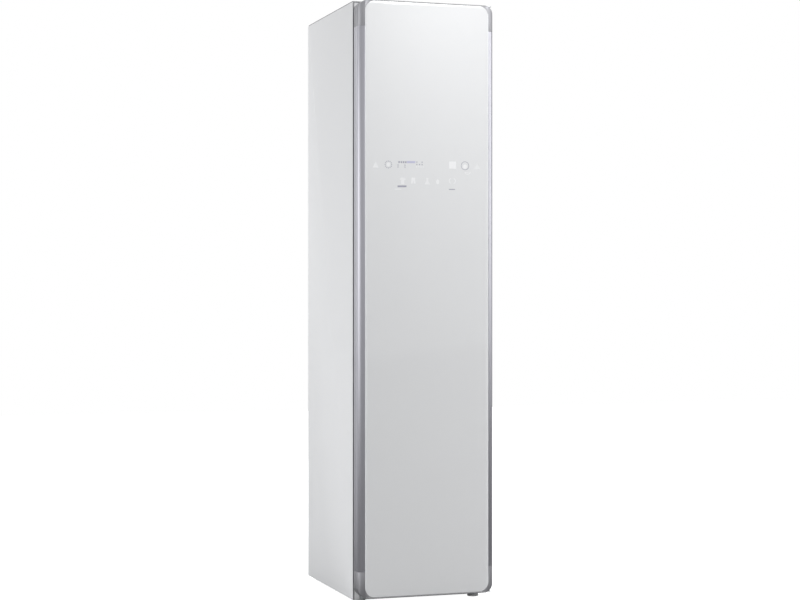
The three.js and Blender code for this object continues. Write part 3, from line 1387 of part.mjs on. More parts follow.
// Press cover: ribbed panel that swings on the plate's pins, with a pull tab on its free edge
function pressCover() {
  const panel = pressPanel(coverFrontY, coverBackY);
  const hollow = [-1, 1].map((side) => {
    const middle = (side * pressHalf) / 2;
    return run(roundedOutline(middle - pressPadWidth / 2, middle + pressPadWidth / 2,
      pressBottom + pressRadius, pressTop - pressRadius, pressRadius / 2), 'y',
    coverFrontY + pressPanelWall, coverBackY + overrun);
  });
  const reliefs = knuckleEnds.map((z) => rod('z', knuckleX, knuckleY, knuckleRadius + fit * 2,
    z - knuckleLength - fit, z + fit / 2, 16));
  const knuckles = knuckleEnds.map((z) => knuckle(z + fit, z + knuckleLength,
    coverFrontY + fit, coverFrontY + knuckleRadius));
  const bores = knuckleEnds.map((z) => rod('z', knuckleX, knuckleY, knucklePinRadius + fit,
    z - fit, z + knuckleLength + overrun, 12));
  const middleZ = pressBottom + pressHeight / 2;
  const tab = run(roundedOutline(-pressHalf - gripTabReach, -pressHalf + gripTabReach,
    middleZ - gripTabWidth / 2, middleZ + gripTabWidth / 2, gripTabReach / 2), 'y',
  coverFrontY + pressPanelWall, coverBackY);
  return cut(join(cut(panel, ...hollow, ...reliefs), ...knuckles, tab), ...bores);
}
add('press_cover', 'whitePlastic', pressCover());

export default cabinet;
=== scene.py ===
"""A clothes care steam cabinet: tall white steel closet with a silver glass door, dressed for rendering."""

import math

import bmesh
import bpy
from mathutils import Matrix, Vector

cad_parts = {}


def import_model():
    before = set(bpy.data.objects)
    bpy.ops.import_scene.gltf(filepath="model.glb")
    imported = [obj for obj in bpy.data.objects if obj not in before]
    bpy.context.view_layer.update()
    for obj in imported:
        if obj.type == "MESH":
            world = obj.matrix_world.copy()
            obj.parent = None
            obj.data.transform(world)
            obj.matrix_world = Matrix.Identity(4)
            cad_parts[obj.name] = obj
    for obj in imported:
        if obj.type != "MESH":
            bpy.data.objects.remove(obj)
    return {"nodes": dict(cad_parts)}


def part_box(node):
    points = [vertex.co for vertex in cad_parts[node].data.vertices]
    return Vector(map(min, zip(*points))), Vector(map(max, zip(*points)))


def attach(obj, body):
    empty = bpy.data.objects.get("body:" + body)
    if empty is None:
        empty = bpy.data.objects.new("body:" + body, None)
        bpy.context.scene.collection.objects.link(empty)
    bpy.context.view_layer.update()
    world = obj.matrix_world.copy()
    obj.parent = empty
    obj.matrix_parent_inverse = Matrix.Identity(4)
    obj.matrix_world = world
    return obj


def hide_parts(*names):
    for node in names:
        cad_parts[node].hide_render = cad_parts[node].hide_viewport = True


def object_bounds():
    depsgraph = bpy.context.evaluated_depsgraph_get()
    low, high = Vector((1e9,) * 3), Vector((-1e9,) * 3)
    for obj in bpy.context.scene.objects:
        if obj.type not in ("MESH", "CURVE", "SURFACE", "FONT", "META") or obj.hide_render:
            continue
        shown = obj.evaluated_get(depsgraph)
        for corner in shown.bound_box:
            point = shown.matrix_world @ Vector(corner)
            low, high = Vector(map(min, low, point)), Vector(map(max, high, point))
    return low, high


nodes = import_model()["nodes"]
cad_box = [list(corner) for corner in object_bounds()]
scene = bpy.context.scene

# Camera. It stands about five and a half metres away, to the front left of the cabinet,
# level with the middle of the door, as the photographer stood.
CAMERA_PLACE = (-1.7828, -5.4431, 0.9327)
CAMERA_TURN = math.radians(18.205)
CAMERA_LENS = 79.858
SENSOR_WIDTH = 36.0
camera = bpy.data.objects.new("camera", bpy.data.cameras.new("camera"))
camera.data.sensor_width = SENSOR_WIDTH
camera.data.lens = CAMERA_LENS
camera.location = CAMERA_PLACE
camera.rotation_euler = (math.pi / 2, 0, -CAMERA_TURN)
scene.collection.objects.link(camera)
scene.camera = camera
scene.view_settings.view_transform = "Standard"

# Room. A pale floor that stays white to the eye, and a plain white surround with soft light
# from five soft boxes. In reflections the floor is painted darker towards its front: a painted
# reflection that shades the door's metal frame.
FLOOR_HALF = 9.0
FLOOR_COLOUR = (0.93, 0.93, 0.93, 1)
FLOOR_MIRRORED_NEAR = 0.15
FLOOR_MIRRORED_FAR = 0.60
FLOOR_TURNS = (-0.4, 0.95)
SURROUND_COLOUR = (0.88, 0.885, 0.892, 1)
SURROUND_LIGHT = 0.53
PURE_WHITE = (1, 1, 1, 1)
LAMPS = {"lamp_front_high": ((1.4, -3.1, 3.9), (0.0, -0.3, 1.65), (2.4, 1.6), 129),
         "lamp_left_side": ((-3.6, -0.15, 1.27), (-0.2, -0.1, 0.85), (4.0, 3.1), 57),
         "lamp_left_behind": ((-1.5, 3.2, 1.80), (-0.2, 0.0, 1.4), (2.2, 4.3), 14),
         "lamp_right_side": ((3.2, -1.35, 1.75), (0.2, -0.3, 1.1), (1.6, 3.3), 30),
         "lamp_behind": ((1.2, 3.9, 2.2), (0.0, 0.3, 0.9), (4.2, 3.4), 62)}


def add_node(tree, kind, inputs=(), **settings):
    """A node with its settings, and for each input a value or the socket that feeds it."""
    made = tree.nodes.new(kind)
    for key, value in settings.items():
        setattr(made, key, value)
    for key, value in dict(inputs).items():
        if isinstance(value, bpy.types.NodeSocket):
            tree.links.new(value, made.inputs[key])
        else:
            made.inputs[key].default_value = value
    return made


def floor_material():
    """Diffuse paper floor: it keeps the cabinet's shadow, and is lifted to white for the camera; in
    reflections it is painted darker towards its front.
    """
    material = bpy.data.materials.new("floor_paper")
    material.use_nodes = True
    tree = material.node_tree
    tree.nodes.clear()
    path = add_node(tree, "ShaderNodeLightPath")
    place = add_node(tree, "ShaderNodeTexCoord")
    split = add_node(tree, "ShaderNodeSeparateXYZ", {0: place.outputs["Object"]})
    # Painted reflection: the floor's tone for glossy rays, darker towards its front.
    reflection_shade = add_node(tree, "ShaderNodeMapRange", {
        "Value": split.outputs["Y"], "From Min": FLOOR_TURNS[0], "From Max": FLOOR_TURNS[1],
        "To Min": FLOOR_MIRRORED_NEAR, "To Max": FLOOR_MIRRORED_FAR})
    tone = add_node(tree, "ShaderNodeMix", {
        "Factor": path.outputs["Is Glossy Ray"], "A": FLOOR_COLOUR, "B": reflection_shade.outputs["Result"]},
        data_type="RGBA")
    shade = add_node(tree, "ShaderNodeBsdfDiffuse", {"Color": tone.outputs["Result"]})
    glow = add_node(tree, "ShaderNodeEmission", {"Color": PURE_WHITE, "Strength": 1.0})
    both = add_node(tree, "ShaderNodeAddShader", {0: shade.outputs[0], 1: glow.outputs[0]})
    choose = add_node(tree, "ShaderNodeMixShader", {
        0: path.outputs["Is Camera Ray"], 1: shade.outputs[0], 2: both.outputs[0]})
    add_node(tree, "ShaderNodeOutputMaterial", {"Surface": choose.outputs[0]})
    return material


floor_mesh = bpy.data.meshes.new("floor")
floor_mesh.from_pydata([(-FLOOR_HALF, -FLOOR_HALF, 0), (FLOOR_HALF, -FLOOR_HALF, 0),
                        (FLOOR_HALF, FLOOR_HALF, 0), (-FLOOR_HALF, FLOOR_HALF, 0)], [], [(0, 1, 2, 3)])
floor_mesh.materials.append(floor_material())
floor = bpy.data.objects.new("floor", floor_mesh)
scene.collection.objects.link(floor)

scene.world = bpy.data.worlds.new("surround")
scene.world.use_nodes = True
air = scene.world.node_tree
air.nodes.clear()
ray = add_node(air, "ShaderNodeLightPath")
seen = add_node(air, "ShaderNodeMath", {0: ray.outputs["Is Camera Ray"],
                                        1: ray.outputs["Is Transmission Ray"]}, operation="MAXIMUM")
room_light = add_node(air, "ShaderNodeBackground", {"Color": SURROUND_COLOUR,
                                                    "Strength": SURROUND_LIGHT})
white_back = add_node(air, "ShaderNodeBackground", {"Color": PURE_WHITE, "Strength": 1.0})
either = add_node(air, "ShaderNodeMixShader", {0: seen.outputs[0], 1: room_light.outputs[0],
                                               2: white_back.outputs[0]})
add_node(air, "ShaderNodeOutputWorld", {"Surface": either.outputs[0]})

for name, (place, target, size, power) in LAMPS.items():
    soft_box = bpy.data.lights.new(name, "AREA")
    soft_box.shape = "RECTANGLE"
    soft_box.size, soft_box.size_y = size
    soft_box.energy = power
    lamp = bpy.data.objects.new(name, soft_box)
    lamp.location = place
    lamp.rotation_euler = (Vector(target) - Vector(place)).to_track_quat("-Z", "Y").to_euler()
    scene.collection.objects.link(lamp)

# Steel skin. Side panels and top are cold-rolled sheet, folded along the edges and coated
# satin white. A grey band is painted along the sides' top folds as painted shade of the
# rounded fold. The coat shows a very fine orange peel.
SHEET_WHITE = (0.716, 0.721, 0.731)
SHEET_ROUGH = 0.50
FOLD_ROUND = 0.0007
FOLD_SHADE_GREY = (0.30, 0.30, 0.31)
FOLD_SHADE_HEIGHT = 0.0028
high_corner = cad_box[1]
SMOOTH_BELOW = math.radians(32)
ROUND_ABOVE = math.radians(34)
WELD_REACH = 1e-5
SOCKET_FORMS = {"Colour": "Color", "Painted Light Colour": "Color", "Axis": "Vector", "Line Scale": "Vector",
                "Geometry": "Geometry"}


def node_group(name, takes, gives, kind="ShaderNodeTree"):
    """A node group with named sockets: its tree, what comes in and what goes out."""
    tree = bpy.data.node_groups.new(name, kind)
    for way, labels in (("INPUT", takes), ("OUTPUT", gives)):
        for label in labels:
            form = SOCKET_FORMS.get(label, "Float")
            tree.interface.new_socket(label, in_out=way, socket_type=f"NodeSocket{form}")
    return tree, tree.nodes.new("NodeGroupInput").outputs, tree.nodes.new("NodeGroupOutput").inputs


def own_place(tree):
    """The piece's own coordinates."""
    return tree.nodes.new("ShaderNodeTexCoord").outputs["Object"]


def maths(tree, operation, *values):
    """What an operation makes of numbers or sockets."""
    return add_node(tree, "ShaderNodeMath", enumerate(values), operation=operation).outputs[0]


def tinted(tree, colour, factor):
    """A colour made lighter or darker by a factor."""
    return add_node(tree, "ShaderNodeVectorMath", {0: colour, "Scale": factor},
                    operation="SCALE").outputs[0]


def drift_by(tree, entry, leave, noise):
    """Colour and roughness that drift with a noise, by the amounts that come in."""
    signed = maths(tree, "SUBTRACT", noise, 0.5)
    shade = maths(tree, "MULTIPLY_ADD", signed, entry["Colour Drift"], 1.0)
    rough = maths(tree, "MULTIPLY_ADD", signed, entry["Roughness Drift"], entry["Roughness"])
    tree.links.new(tinted(tree, entry["Colour"], shade), leave["Colour"])
    tree.links.new(rough, leave["Roughness"])


def moulded_surface():
    """Node group: a colour and roughness that drift a little, and the height of a fine grain."""
    tree, entry, leave = node_group("moulded_surface", (
        "Colour", "Roughness", "Grain Scale", "Drift Scale", "Colour Drift", "Roughness Drift"),
        ("Colour", "Roughness", "Height"))
    place = own_place(tree)
    grain = add_node(tree, "ShaderNodeTexNoise", {"Vector": place, "Scale": entry["Grain Scale"],
                                                  "Detail": 2.0})
    drift = add_node(tree, "ShaderNodeTexNoise", {"Vector": place, "Scale": entry["Drift Scale"],
                                                  "Detail": 4.0})
    drift_by(tree, entry, leave, drift.outputs["Fac"])
    tree.links.new(grain.outputs["Fac"], leave["Height"])
    return tree


moulded = moulded_surface()


def surfaced(name, group, values, relief=None, fixed=()):
    """A material with colour, roughness and relief from a node group; other inputs are fixed."""
    material = bpy.data.materials.new(name)
    material.use_nodes = True
    tree = material.node_tree
    shader = tree.nodes["Principled BSDF"]
    fixed = dict(fixed)
    for label, value in fixed.items():
        shader.inputs[label].default_value = value
    surface = add_node(tree, "ShaderNodeGroup", values, node_tree=group).outputs
    tree.links.new(surface["Colour"], shader.inputs["Base Color"])
    if "Roughness" not in fixed:
        tree.links.new(surface["Roughness"], shader.inputs["Roughness"])
    if relief:
        strength, depth = relief
        bump = add_node(tree, "ShaderNodeBump", {"Strength": strength, "Distance": depth,
                                                 "Height": surface["Height"]})
        tree.links.new(bump.outputs["Normal"], shader.inputs["Normal"])
    return material


def grained(name, colour, roughness, grain_scale, depth=None, drift=0.03, metallic=0.0,
            drift_scale=3.0, rough_drift=0.10, fixed=()):
    """Moulded or coated stuff: even colour with a slight drift, and a fine grain in relief."""
    return surfaced(name, moulded, {"Colour": (*colour, 1), "Roughness": roughness,
                                    "Grain Scale": grain_scale, "Drift Scale": drift_scale,
                                    "Colour Drift": drift, "Roughness Drift": rough_drift},
                    depth and (0.6, depth), {"Metallic": metallic, **dict(fixed)})


def painted_light_border():
    """Node group: the surface's own colour and roughness within reach of a middle along an axis, and a
    painted highlight or painted shade beyond it, as each material needs.
    """
    tree, entry, leave = node_group("painted_light_border", (
        "Colour", "Roughness", "Painted Light Colour", "Painted Light Roughness", "Axis", "Middle", "Reach"),
        ("Colour", "Roughness", "Within Reach"))
    along = add_node(tree, "ShaderNodeVectorMath", {0: own_place(tree), 1: entry["Axis"]},
                     operation="DOT_PRODUCT").outputs["Value"]
    within_reach = maths(tree, "COMPARE", along, entry["Middle"], entry["Reach"])
    tone = add_node(tree, "ShaderNodeMix", {
        "Factor": within_reach, "A": entry["Painted Light Colour"], "B": entry["Colour"]}, data_type="RGBA")
    sheen = add_node(tree, "ShaderNodeMix", {
        "Factor": within_reach, "A": entry["Painted Light Roughness"], "B": entry["Roughness"]})
    tree.links.new(tone.outputs["Result"], leave["Colour"])
    tree.links.new(sheen.outputs["Result"], leave["Roughness"])
    tree.links.new(within_reach, leave["Within Reach"])
    return tree


border = painted_light_border()


def painted_light_beyond(material, axis, middle, reach, painted_tone, painted_rough=None):
    """Paints light or shade on a material beyond a reach along an axis. A painted tone with a roughness of
    its own isn't metal.
    """
    tree = material.node_tree
    shader = tree.nodes["Principled BSDF"].inputs
    values = {"Colour": shader["Base Color"].links[0].from_socket, "Painted Light Colour": (*painted_tone, 1),
              "Axis": axis, "Middle": middle, "Reach": reach}
    if painted_rough is not None:
        values |= {"Roughness": shader["Roughness"].links[0].from_socket, "Painted Light Roughness": painted_rough}
    edged = add_node(tree, "ShaderNodeGroup", values, node_tree=border).outputs
    tree.links.new(edged["Colour"], shader["Base Color"])
    if painted_rough is not None:
        tree.links.new(edged["Roughness"], shader["Roughness"])
        tree.links.new(edged["Within Reach"], shader["Metallic"])


def smooth_by_angle():
    """Geometry group: smooth shading that breaks at edges sharper than an angle."""
    tree, entry, leave = node_group("smooth_by_angle", ("Geometry",), ("Geometry",),
                                    "GeometryNodeTree")
    bend = tree.nodes.new("GeometryNodeInputMeshEdgeAngle")
    mild = add_node(tree, "FunctionNodeCompare", {"A": bend.outputs["Unsigned Angle"],
                                                  "B": SMOOTH_BELOW},
                    data_type="FLOAT", operation="LESS_EQUAL")
    faces = add_node(tree, "GeometryNodeSetShadeSmooth", {"Geometry": entry[0]}, domain="FACE")
    edges = add_node(tree, "GeometryNodeSetShadeSmooth", {"Geometry": faces.outputs[0],
                                                          "Shade Smooth": mild.outputs[0]},
                     domain="EDGE")
    tree.links.new(edges.outputs[0], leave[0])
    return tree


smoothing = smooth_by_angle()


def round_edges(obj, width, segments=2):
    """Welds the mesh's corners, rounds its sharp edges and shades it smooth between them."""
    obj.modifiers.new("weld", "WELD").merge_threshold = WELD_REACH
    if width:
        bevel = obj.modifiers.new("round", "BEVEL")
        bevel.width = width
        bevel.segments = segments
        bevel.limit_method = "ANGLE"
        bevel.angle_limit = ROUND_ABOVE
        bevel.use_clamp_overlap = True
    obj.modifiers.new("smooth", "NODES").node_group = smoothing


def dress(names, material, width, segments=2):
    """Gives CAD nodes their finish and rounded edges."""
    for name in names:
        obj = nodes[name]
        obj.data.materials.clear()
        obj.data.materials.append(material)
        round_edges(obj, width, segments)


side_steel = grained("side_steel", SHEET_WHITE, SHEET_ROUGH, 900.0, 0.00002, 0.015)
# Painted shade: a grey band along the top edge of the side panels.
painted_light_beyond(side_steel, (0, 0, 1), 0.0, high_corner[2] - FOLD_SHADE_HEIGHT, FOLD_SHADE_GREY)
dress(["side_panel_left", "side_panel_right"], side_steel, FOLD_ROUND)
dress(["top_panel"], grained("coated_steel", SHEET_WHITE, SHEET_ROUGH, 900.0, 0.00002, 0.015),
      FOLD_ROUND)

# Gap shade. Thin dark strips on the cabinet's front flanges, outside the gasket: painted
# shade that makes the gap round the door look dark.
GAP_SHADE_INSET = 0.0005
GAP_SHADE_WIDTH = 0.0048
GAP_SHADE_THICK = 0.0008
GAP_SHADE_LIFT = 0.00005
FLANGE_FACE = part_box("side_panel_left")[0][1]
# Dark grey of the painted shade in the door gap.
gap_shade_dark = grained("gap_shade_dark", (0.230, 0.233, 0.242), 0.70, 800.0, 0.00003, 0.10)


def place_piece(name, mesh, material, width=0.0, segments=2, body="cabinet",
                place=(0, 0, 0), facing=None):
    """Turns a built-up mesh into a piece that rides on a body; without a width it stays flat."""
    if width is not None:
        bmesh.ops.recalc_face_normals(mesh, faces=mesh.faces)
    data = bpy.data.meshes.new(name)
    mesh.to_mesh(data)
    mesh.free()
    data.materials.append(material)
    obj = bpy.data.objects.new(name, data)
    obj.location = place
    if facing:
        obj.rotation_euler = Vector(facing).to_track_quat("Z", "Y").to_euler()
    scene.collection.objects.link(obj)
    if width is not None:
        round_edges(obj, width, segments)
    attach(obj, body)
    return obj


def skin(forms, ring=False):
    """A mesh over forms, each a row of equal loops; closed at its ends, or joined into a ring."""
    mesh = bmesh.new()
    for loops in forms:
        rows = [[mesh.verts.new(point) for point in loop] for loop in loops]
        for lower, upper in zip(rows, rows[1:] + rows[:1] if ring else rows[1:]):
            for i in range(len(lower)):
                mesh.faces.new((lower[i - 1], lower[i], upper[i], upper[i - 1]))
        if not ring:
            mesh.faces.new(rows[0][::-1])
            mesh.faces.new(rows[-1])
    return mesh


def prism(outline, axis, start, end):
    """An outline of pairs in the other two directions, drawn out along x, y or z."""
    at = "xyz".index(axis)
    return [[(*pair[:at], level, *pair[at:]) for pair in outline] for level in (start, end)]


def gap_shade_strip(name, outline):
    """One strip, drawn in front view, on the plane of the cabinet's flanges."""
    strip = prism(outline, "y", FLANGE_FACE - GAP_SHADE_THICK, FLANGE_FACE - GAP_SHADE_LIFT)
    place_piece(name, skin([strip]), gap_shade_dark, 0.0002, 1)


gap_shade_outer = high_corner[0] - GAP_SHADE_INSET
gap_shade_inner = gap_shade_outer - GAP_SHADE_WIDTH
gap_shade_top = high_corner[2] - GAP_SHADE_INSET
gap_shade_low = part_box("side_panel_left")[0][2] + GAP_SHADE_INSET
bracket_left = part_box("hinge_bracket_top")[0][0] - GAP_SHADE_INSET
bracket_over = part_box("hinge_bracket_top")[0][2] - GAP_SHADE_INSET
bracket_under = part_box("hinge_bracket_bottom")[1][2] + GAP_SHADE_INSET
gap_shade_strip("edge_seal_left", [(-gap_shade_outer, gap_shade_low), (-gap_shade_inner, gap_shade_low),
                             (-gap_shade_inner, gap_shade_top - GAP_SHADE_WIDTH), (bracket_left, gap_shade_top - GAP_SHADE_WIDTH),
                             (bracket_left, gap_shade_top), (-gap_shade_outer, gap_shade_top)])
gap_shade_strip("edge_seal_right", [(gap_shade_inner, bracket_under), (gap_shade_outer, bracket_under),
                              (gap_shade_outer, bracket_over), (gap_shade_inner, bracket_over)])

# Back. Galvanised sheet with two long pressings, and the louvred cover of the machine room.
# The zinc shows faint crystal spangle; cross-head screws hold both sheets along their edges.
SIDES = ((-1, "left"), (1, "right"))
ZINC = (0.60, 0.62, 0.635)
SCREW_RADIUS = 0.0042
SCREW_RISE = 0.0012
SCREW_SIDES = 20
REAR_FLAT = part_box("machine_cover")[1][1]
RAIL_X = 0.196
SCREW_ROWS = {"back_screw": (0.49, 1.80, 6), "cover_screw": (0.065, 0.45, 3)}


def zinc_spangle():
    """Node group: crystal cells that change the brightness and roughness of a zinc coat."""
    tree, entry, leave = node_group("zinc_spangle", ("Colour", "Cell Scale", "Contrast"),
                                    ("Colour", "Roughness"))
    cells = add_node(tree, "ShaderNodeTexVoronoi", {"Vector": own_place(tree),
                                                    "Scale": entry["Cell Scale"]})
    bright = add_node(tree, "ShaderNodeSeparateColor", {0: cells.outputs["Color"]}).outputs
    shade = maths(tree, "MULTIPLY_ADD", bright[0], entry["Contrast"], 0.94)
    tree.links.new(tinted(tree, entry["Colour"], shade), leave["Colour"])
    tree.links.new(maths(tree, "MULTIPLY_ADD", bright[1], 0.14, 0.44), leave["Roughness"])
    return tree


spangle = zinc_spangle()
galvanised, plated = [
    surfaced(name, spangle, {"Colour": (*ZINC, 1), "Cell Scale": cells, "Contrast": contrast},
             fixed={"Metallic": 0.70})
    for name, cells, contrast in (("galvanised_sheet", 160.0, 0.12), ("plated_steel", 700.0, 0.06))]
dress(["back_panel", "machine_cover", "base_pan"], galvanised, 0.0004)


def circle(radius, sides):
    """Pairs set round a circle."""
    return [(radius * math.cos(math.tau * i / sides), radius * math.sin(math.tau * i / sides))
            for i in range(sides)]


def screw_head(name, place, radius=SCREW_RADIUS, facing=(0, -1, 0)):
    """A low domed screw with a cross recess, its head turned to face along a direction."""
    loops = [[(a, b, SCREW_RISE * rise) for a, b in circle(radius * share, SCREW_SIDES)]
             for share, rise in ((1.0, 0.0), (1.0, 0.25), (0.86, 0.7), (0.5, 0.95))]
    arms = [0.40 if i % (SCREW_SIDES // 4) == 0 else 0.13 for i in range(SCREW_SIDES)]
    loops.append([(a * arm, b * arm, SCREW_RISE * 0.45)
                  for (a, b), arm in zip(circle(radius, SCREW_SIDES), arms)])
    place_piece(name, skin([loops]), plated, place=place, facing=facing)


for side, side_name in SIDES:
    for row_name, (lowest, highest, count) in SCREW_ROWS.items():
        for i in range(count):
            level = lowest + (highest - lowest) * i / (count - 1)
            screw_head(f"{row_name}_{side_name}_{i + 1}", (side * RAIL_X, REAR_FLAT, level),
                       facing=(0, 1, 0))

# Corner plugs. A small white moulded plug closes the notch where the top's rear fold meets
# each side panel's rear fold.
PLUG_WIDE = (0.1979, 0.2059)
PLUG_HIGH = (1.8281, 1.8396)
PLUG_DEEP = (0.2899, 0.2918)
plug_white = grained("plug_white", (0.72, 0.725, 0.735), 0.45, 1600.0, 0.00001)


def block(x0, x1, y0, y1, z0, z1):
    """A block between two levels in each direction."""
    return prism([(x0, y0), (x1, y0), (x1, y1), (x0, y1)], "z", z0, z1)


for side, side_name in SIDES:
    plug = block(*(side * reach for reach in PLUG_WIDE), *PLUG_DEEP, *PLUG_HIGH)
    place_piece(f"corner_plug_{side_name}", skin([plug]), plug_white, 0.0006)

# Louvre hoods. Each slot of the machine-room cover is lanced and pressed outward, so that a
# low hood hangs over it; the hoods are the same sheet as the cover.
LOUVRE_ROWS = 9
LOUVRE_LOWEST = 0.190
LOUVRE_PITCH = 0.024
LOUVRE_HEIGHT = 0.007
LOUVRE_CENTRE = 0.10925
HOOD_HALF = 0.077
HOOD_RISE = 0.0013
HOOD_ROOT = 0.0055
HOOD_SHEET = 0.0004
HOOD_SKIN = 0.00002
hoods = []
for row in range(LOUVRE_ROWS):
    slot_low = LOUVRE_LOWEST + LOUVRE_PITCH * row
    slot_top = slot_low + LOUVRE_HEIGHT
    brow = slot_top - LOUVRE_HEIGHT * 0.2
    lip = slot_low + LOUVRE_HEIGHT * 0.35
    for side in (-1, 1):
        loops = []
        for step in range(9):
            across = -1 + step / 4
            rise = HOOD_RISE * math.sqrt(max(0.0, 1 - abs(across) ** 6)) + HOOD_SKIN
            inner = rise * (1 - HOOD_SHEET / HOOD_RISE)
            section = ((HOOD_SKIN, slot_top + HOOD_ROOT), (rise * 0.75, slot_top + HOOD_ROOT * 0.35),
                       (rise, brow), (rise, lip), (inner, lip), (inner, brow), (0.0, slot_top))
            x = side * LOUVRE_CENTRE + across * HOOD_HALF
            loops.append([(x, REAR_FLAT + out, level) for out, level in section])
        hoods.append(loops)
place_piece("louvre_hoods", skin(hoods), galvanised)

# Door glass. Toughened pane, 4 mm, painted silver-white on its back. The paint lies under
# clear glass, so it looks deep and even. A thin pale line is painted along its side edges as
# their painted highlight.
GLASS_PAINT = (0.584, 0.589, 0.596)
GLASS_EDGE = 0.0008
EDGE_HIGHLIGHT_TONE = (0.84, 0.86, 0.875)
EDGE_HIGHLIGHT_WIDTH = 0.0013
pane_low, pane_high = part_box("door_glass")
silver_glass = grained("silver_glass", GLASS_PAINT, 0.50, 2500.0, None, 0.012, 0.12, 1.6, 0.04,
                       {"Coat Weight": 1.0, "Coat Roughness": 0.02, "Coat IOR": 1.5})
# Painted highlight: a pale line along the glass's left and right edges.
painted_light_beyond(silver_glass, (1, 0, 0), 0.0, pane_high[0] - EDGE_HIGHLIGHT_WIDTH, EDGE_HIGHLIGHT_TONE)
dress(["door_glass"], silver_glass, GLASS_EDGE, 3)

# Touch marks. Small generic signs printed on the glass, above the touch board: two triangles,
# a dotted ring, dashes with dots, a square, a ring, and faint garment signs below.
MARK_LEVEL = pane_low[1] - 0.00002
MARK_WHITE = (0.690, 0.692, 0.700)
MARK_FAINT = (0.640, 0.643, 0.650)
MARK_BLUE = (0.42, 0.42, 0.54)
MARK_GREY = (0.28, 0.28, 0.33)
MARK_STROKE = 0.0016
MARK_ROUGH = 0.3
white, faint, blue, grey = [
    surfaced(f"mark_{name}", moulded, {"Colour": (*colour, 1), "Drift Scale": 60.0,
                                       "Colour Drift": 0.10}, fixed={"Roughness": MARK_ROUGH})
    for name, colour in (("white", MARK_WHITE), ("faint", MARK_FAINT), ("blue", MARK_BLUE),
                         ("grey", MARK_GREY))]
SHIRT = ((0.22, 0.50), (0.50, 0.30), (0.38, 0.08), (0.26, 0.18), (0.26, -0.50))
TROUSERS = ((0.32, 0.50), (0.40, -0.50), (0.10, -0.50), (0.0, 0.10))
DRESS = ((0.20, 0.50), (0.15, 0.10), (0.46, -0.50))
LEAF = ((0.0, 0.50), (0.34, 0.10), (0.24, -0.34), (0.0, -0.50))
GARMENT_SIGNS = ((SHIRT, -0.0802, 1.2970, 0.020), (TROUSERS, -0.0460, 1.2985, 0.018),
                 (DRESS, -0.0005, 1.2975, 0.020), (LEAF, 0.0330, 1.2970, 0.017))


def mirrored(half):
    """A whole outline from its right half."""
    return [*half, *((-a, b) for a, b in half[::-1] if a)]


def flat_mark(name, outlines, material):
    """Printed shapes, each a closed outline of (x, z) points on the front of the glass."""
    mesh = bmesh.new()
    for points in outlines:
        mesh.faces.new([mesh.verts.new((x, MARK_LEVEL, z)) for x, z in points])
    mesh.normal_update()
    for face in mesh.faces:
        if face.normal.y > 0:
            face.normal_flip()
    place_piece(f"mark_{name}", mesh, material, None, body="door")


def dot(x, z, radius):
    """A small disc."""
    return [(x + a, z + b) for a, b in circle(radius, 14)]


def bar(x0, z0, x1, z1, width):
    """A straight stroke."""
    along = Vector((x1 - x0, z1 - z0)).normalized() * width / 2
    return [(x0 + along.y, z0 - along.x), (x1 + along.y, z1 - along.x),
            (x1 - along.y, z1 + along.x), (x0 - along.y, z0 + along.x)]


def arc(x, z, radius, first, last, width, steps=18):
    """Strokes that follow part of a circle, angles in degrees."""
    turns = [math.radians(first + (last - first) * i / steps) for i in range(steps + 1)]
    return [[(x + r * math.cos(a), z + r * math.sin(a))
             for r, a in ((radius - width / 2, a0), (radius + width / 2, a0),
                          (radius + width / 2, a1), (radius - width / 2, a1))]
            for a0, a1 in zip(turns, turns[1:])]


def triangle(x, z, size):
    """An arrow head that points up."""
    return [(x - size / 2, z - size * 0.42), (x + size / 2, z - size * 0.42), (x, z + size * 0.5)]


flat_mark("left_arrow", [triangle(-0.1667, 1.3440, 0.020)], faint)
flat_mark("right_arrow", [triangle(0.163, 1.3465, 0.020)], faint)
flat_mark("dotted_ring", [dot(-0.1261 + a, 1.3458 + b, 0.0017) for a, b in circle(0.0105, 12)], grey)
flat_mark("ring_middle", [dot(-0.1261, 1.3458, 0.006)], faint)
flat_mark("short_bars", [bar(-0.0940 + 0.0072 * i, 1.3541, -0.0895 + 0.0072 * i, 1.3542, 0.0060)
                         for i in range(4)], grey)
flat_mark("dash", [bar(-0.0665, 1.3547, -0.0395, 1.3552, 0.0068)], blue)
flat_mark("dash_dots", [dot(x, z, 0.0019) for x in (-0.0953, -0.0728) for z in (1.345, 1.339)], grey)
flat_mark("cross_dots", [dot(-0.0345 + 0.0085 * i, 1.3555 - 0.0075 * j, 0.0020)
                         for i in range(3) for j in range(2) if (i, j) != (1, 0)], grey)
flat_mark("cross_light", [dot(-0.0350 + 0.007 * i, 1.341, 0.0016) for i in range(4)], white)
flat_mark("square", [[(0.071, 1.338), (0.093, 1.338), (0.093, 1.360), (0.071, 1.360)]], white)
flat_mark("ring", arc(0.1227, 1.3477, 0.0125, 20, 385, MARK_STROKE, 28), grey)
flat_mark("ring_light", [dot(0.1227, 1.3455, 0.0065)], white)
flat_mark("curve", arc(0.1310, 1.331, 0.0095, 200, 350, MARK_STROKE)
          + [bar(0.1225, 1.3275, 0.1345, 1.3275, 0.0012)], white)
for number, (half, x, z, size) in enumerate(GARMENT_SIGNS):
    flat_mark(f"icon_{number + 1}", [[(x + size * a, z + size * b) for a, b in mirrored(half)]], faint)
flat_mark("steam", arc(0.079, 1.300, 0.008, 110, 250, MARK_STROKE)
          + arc(0.083, 1.300, 0.008, -70, 70, MARK_STROKE), white)
flat_mark("short_dash", [bar(-0.0969, 1.2799, -0.0679, 1.2805, 0.0055)], grey)
flat_mark("under_dash", [bar(-0.106, 1.2712, -0.085, 1.2716, MARK_STROKE)], white)
flat_mark("right_label", [bar(0.070, 1.2738, 0.090, 1.2740, 0.0030)], grey)

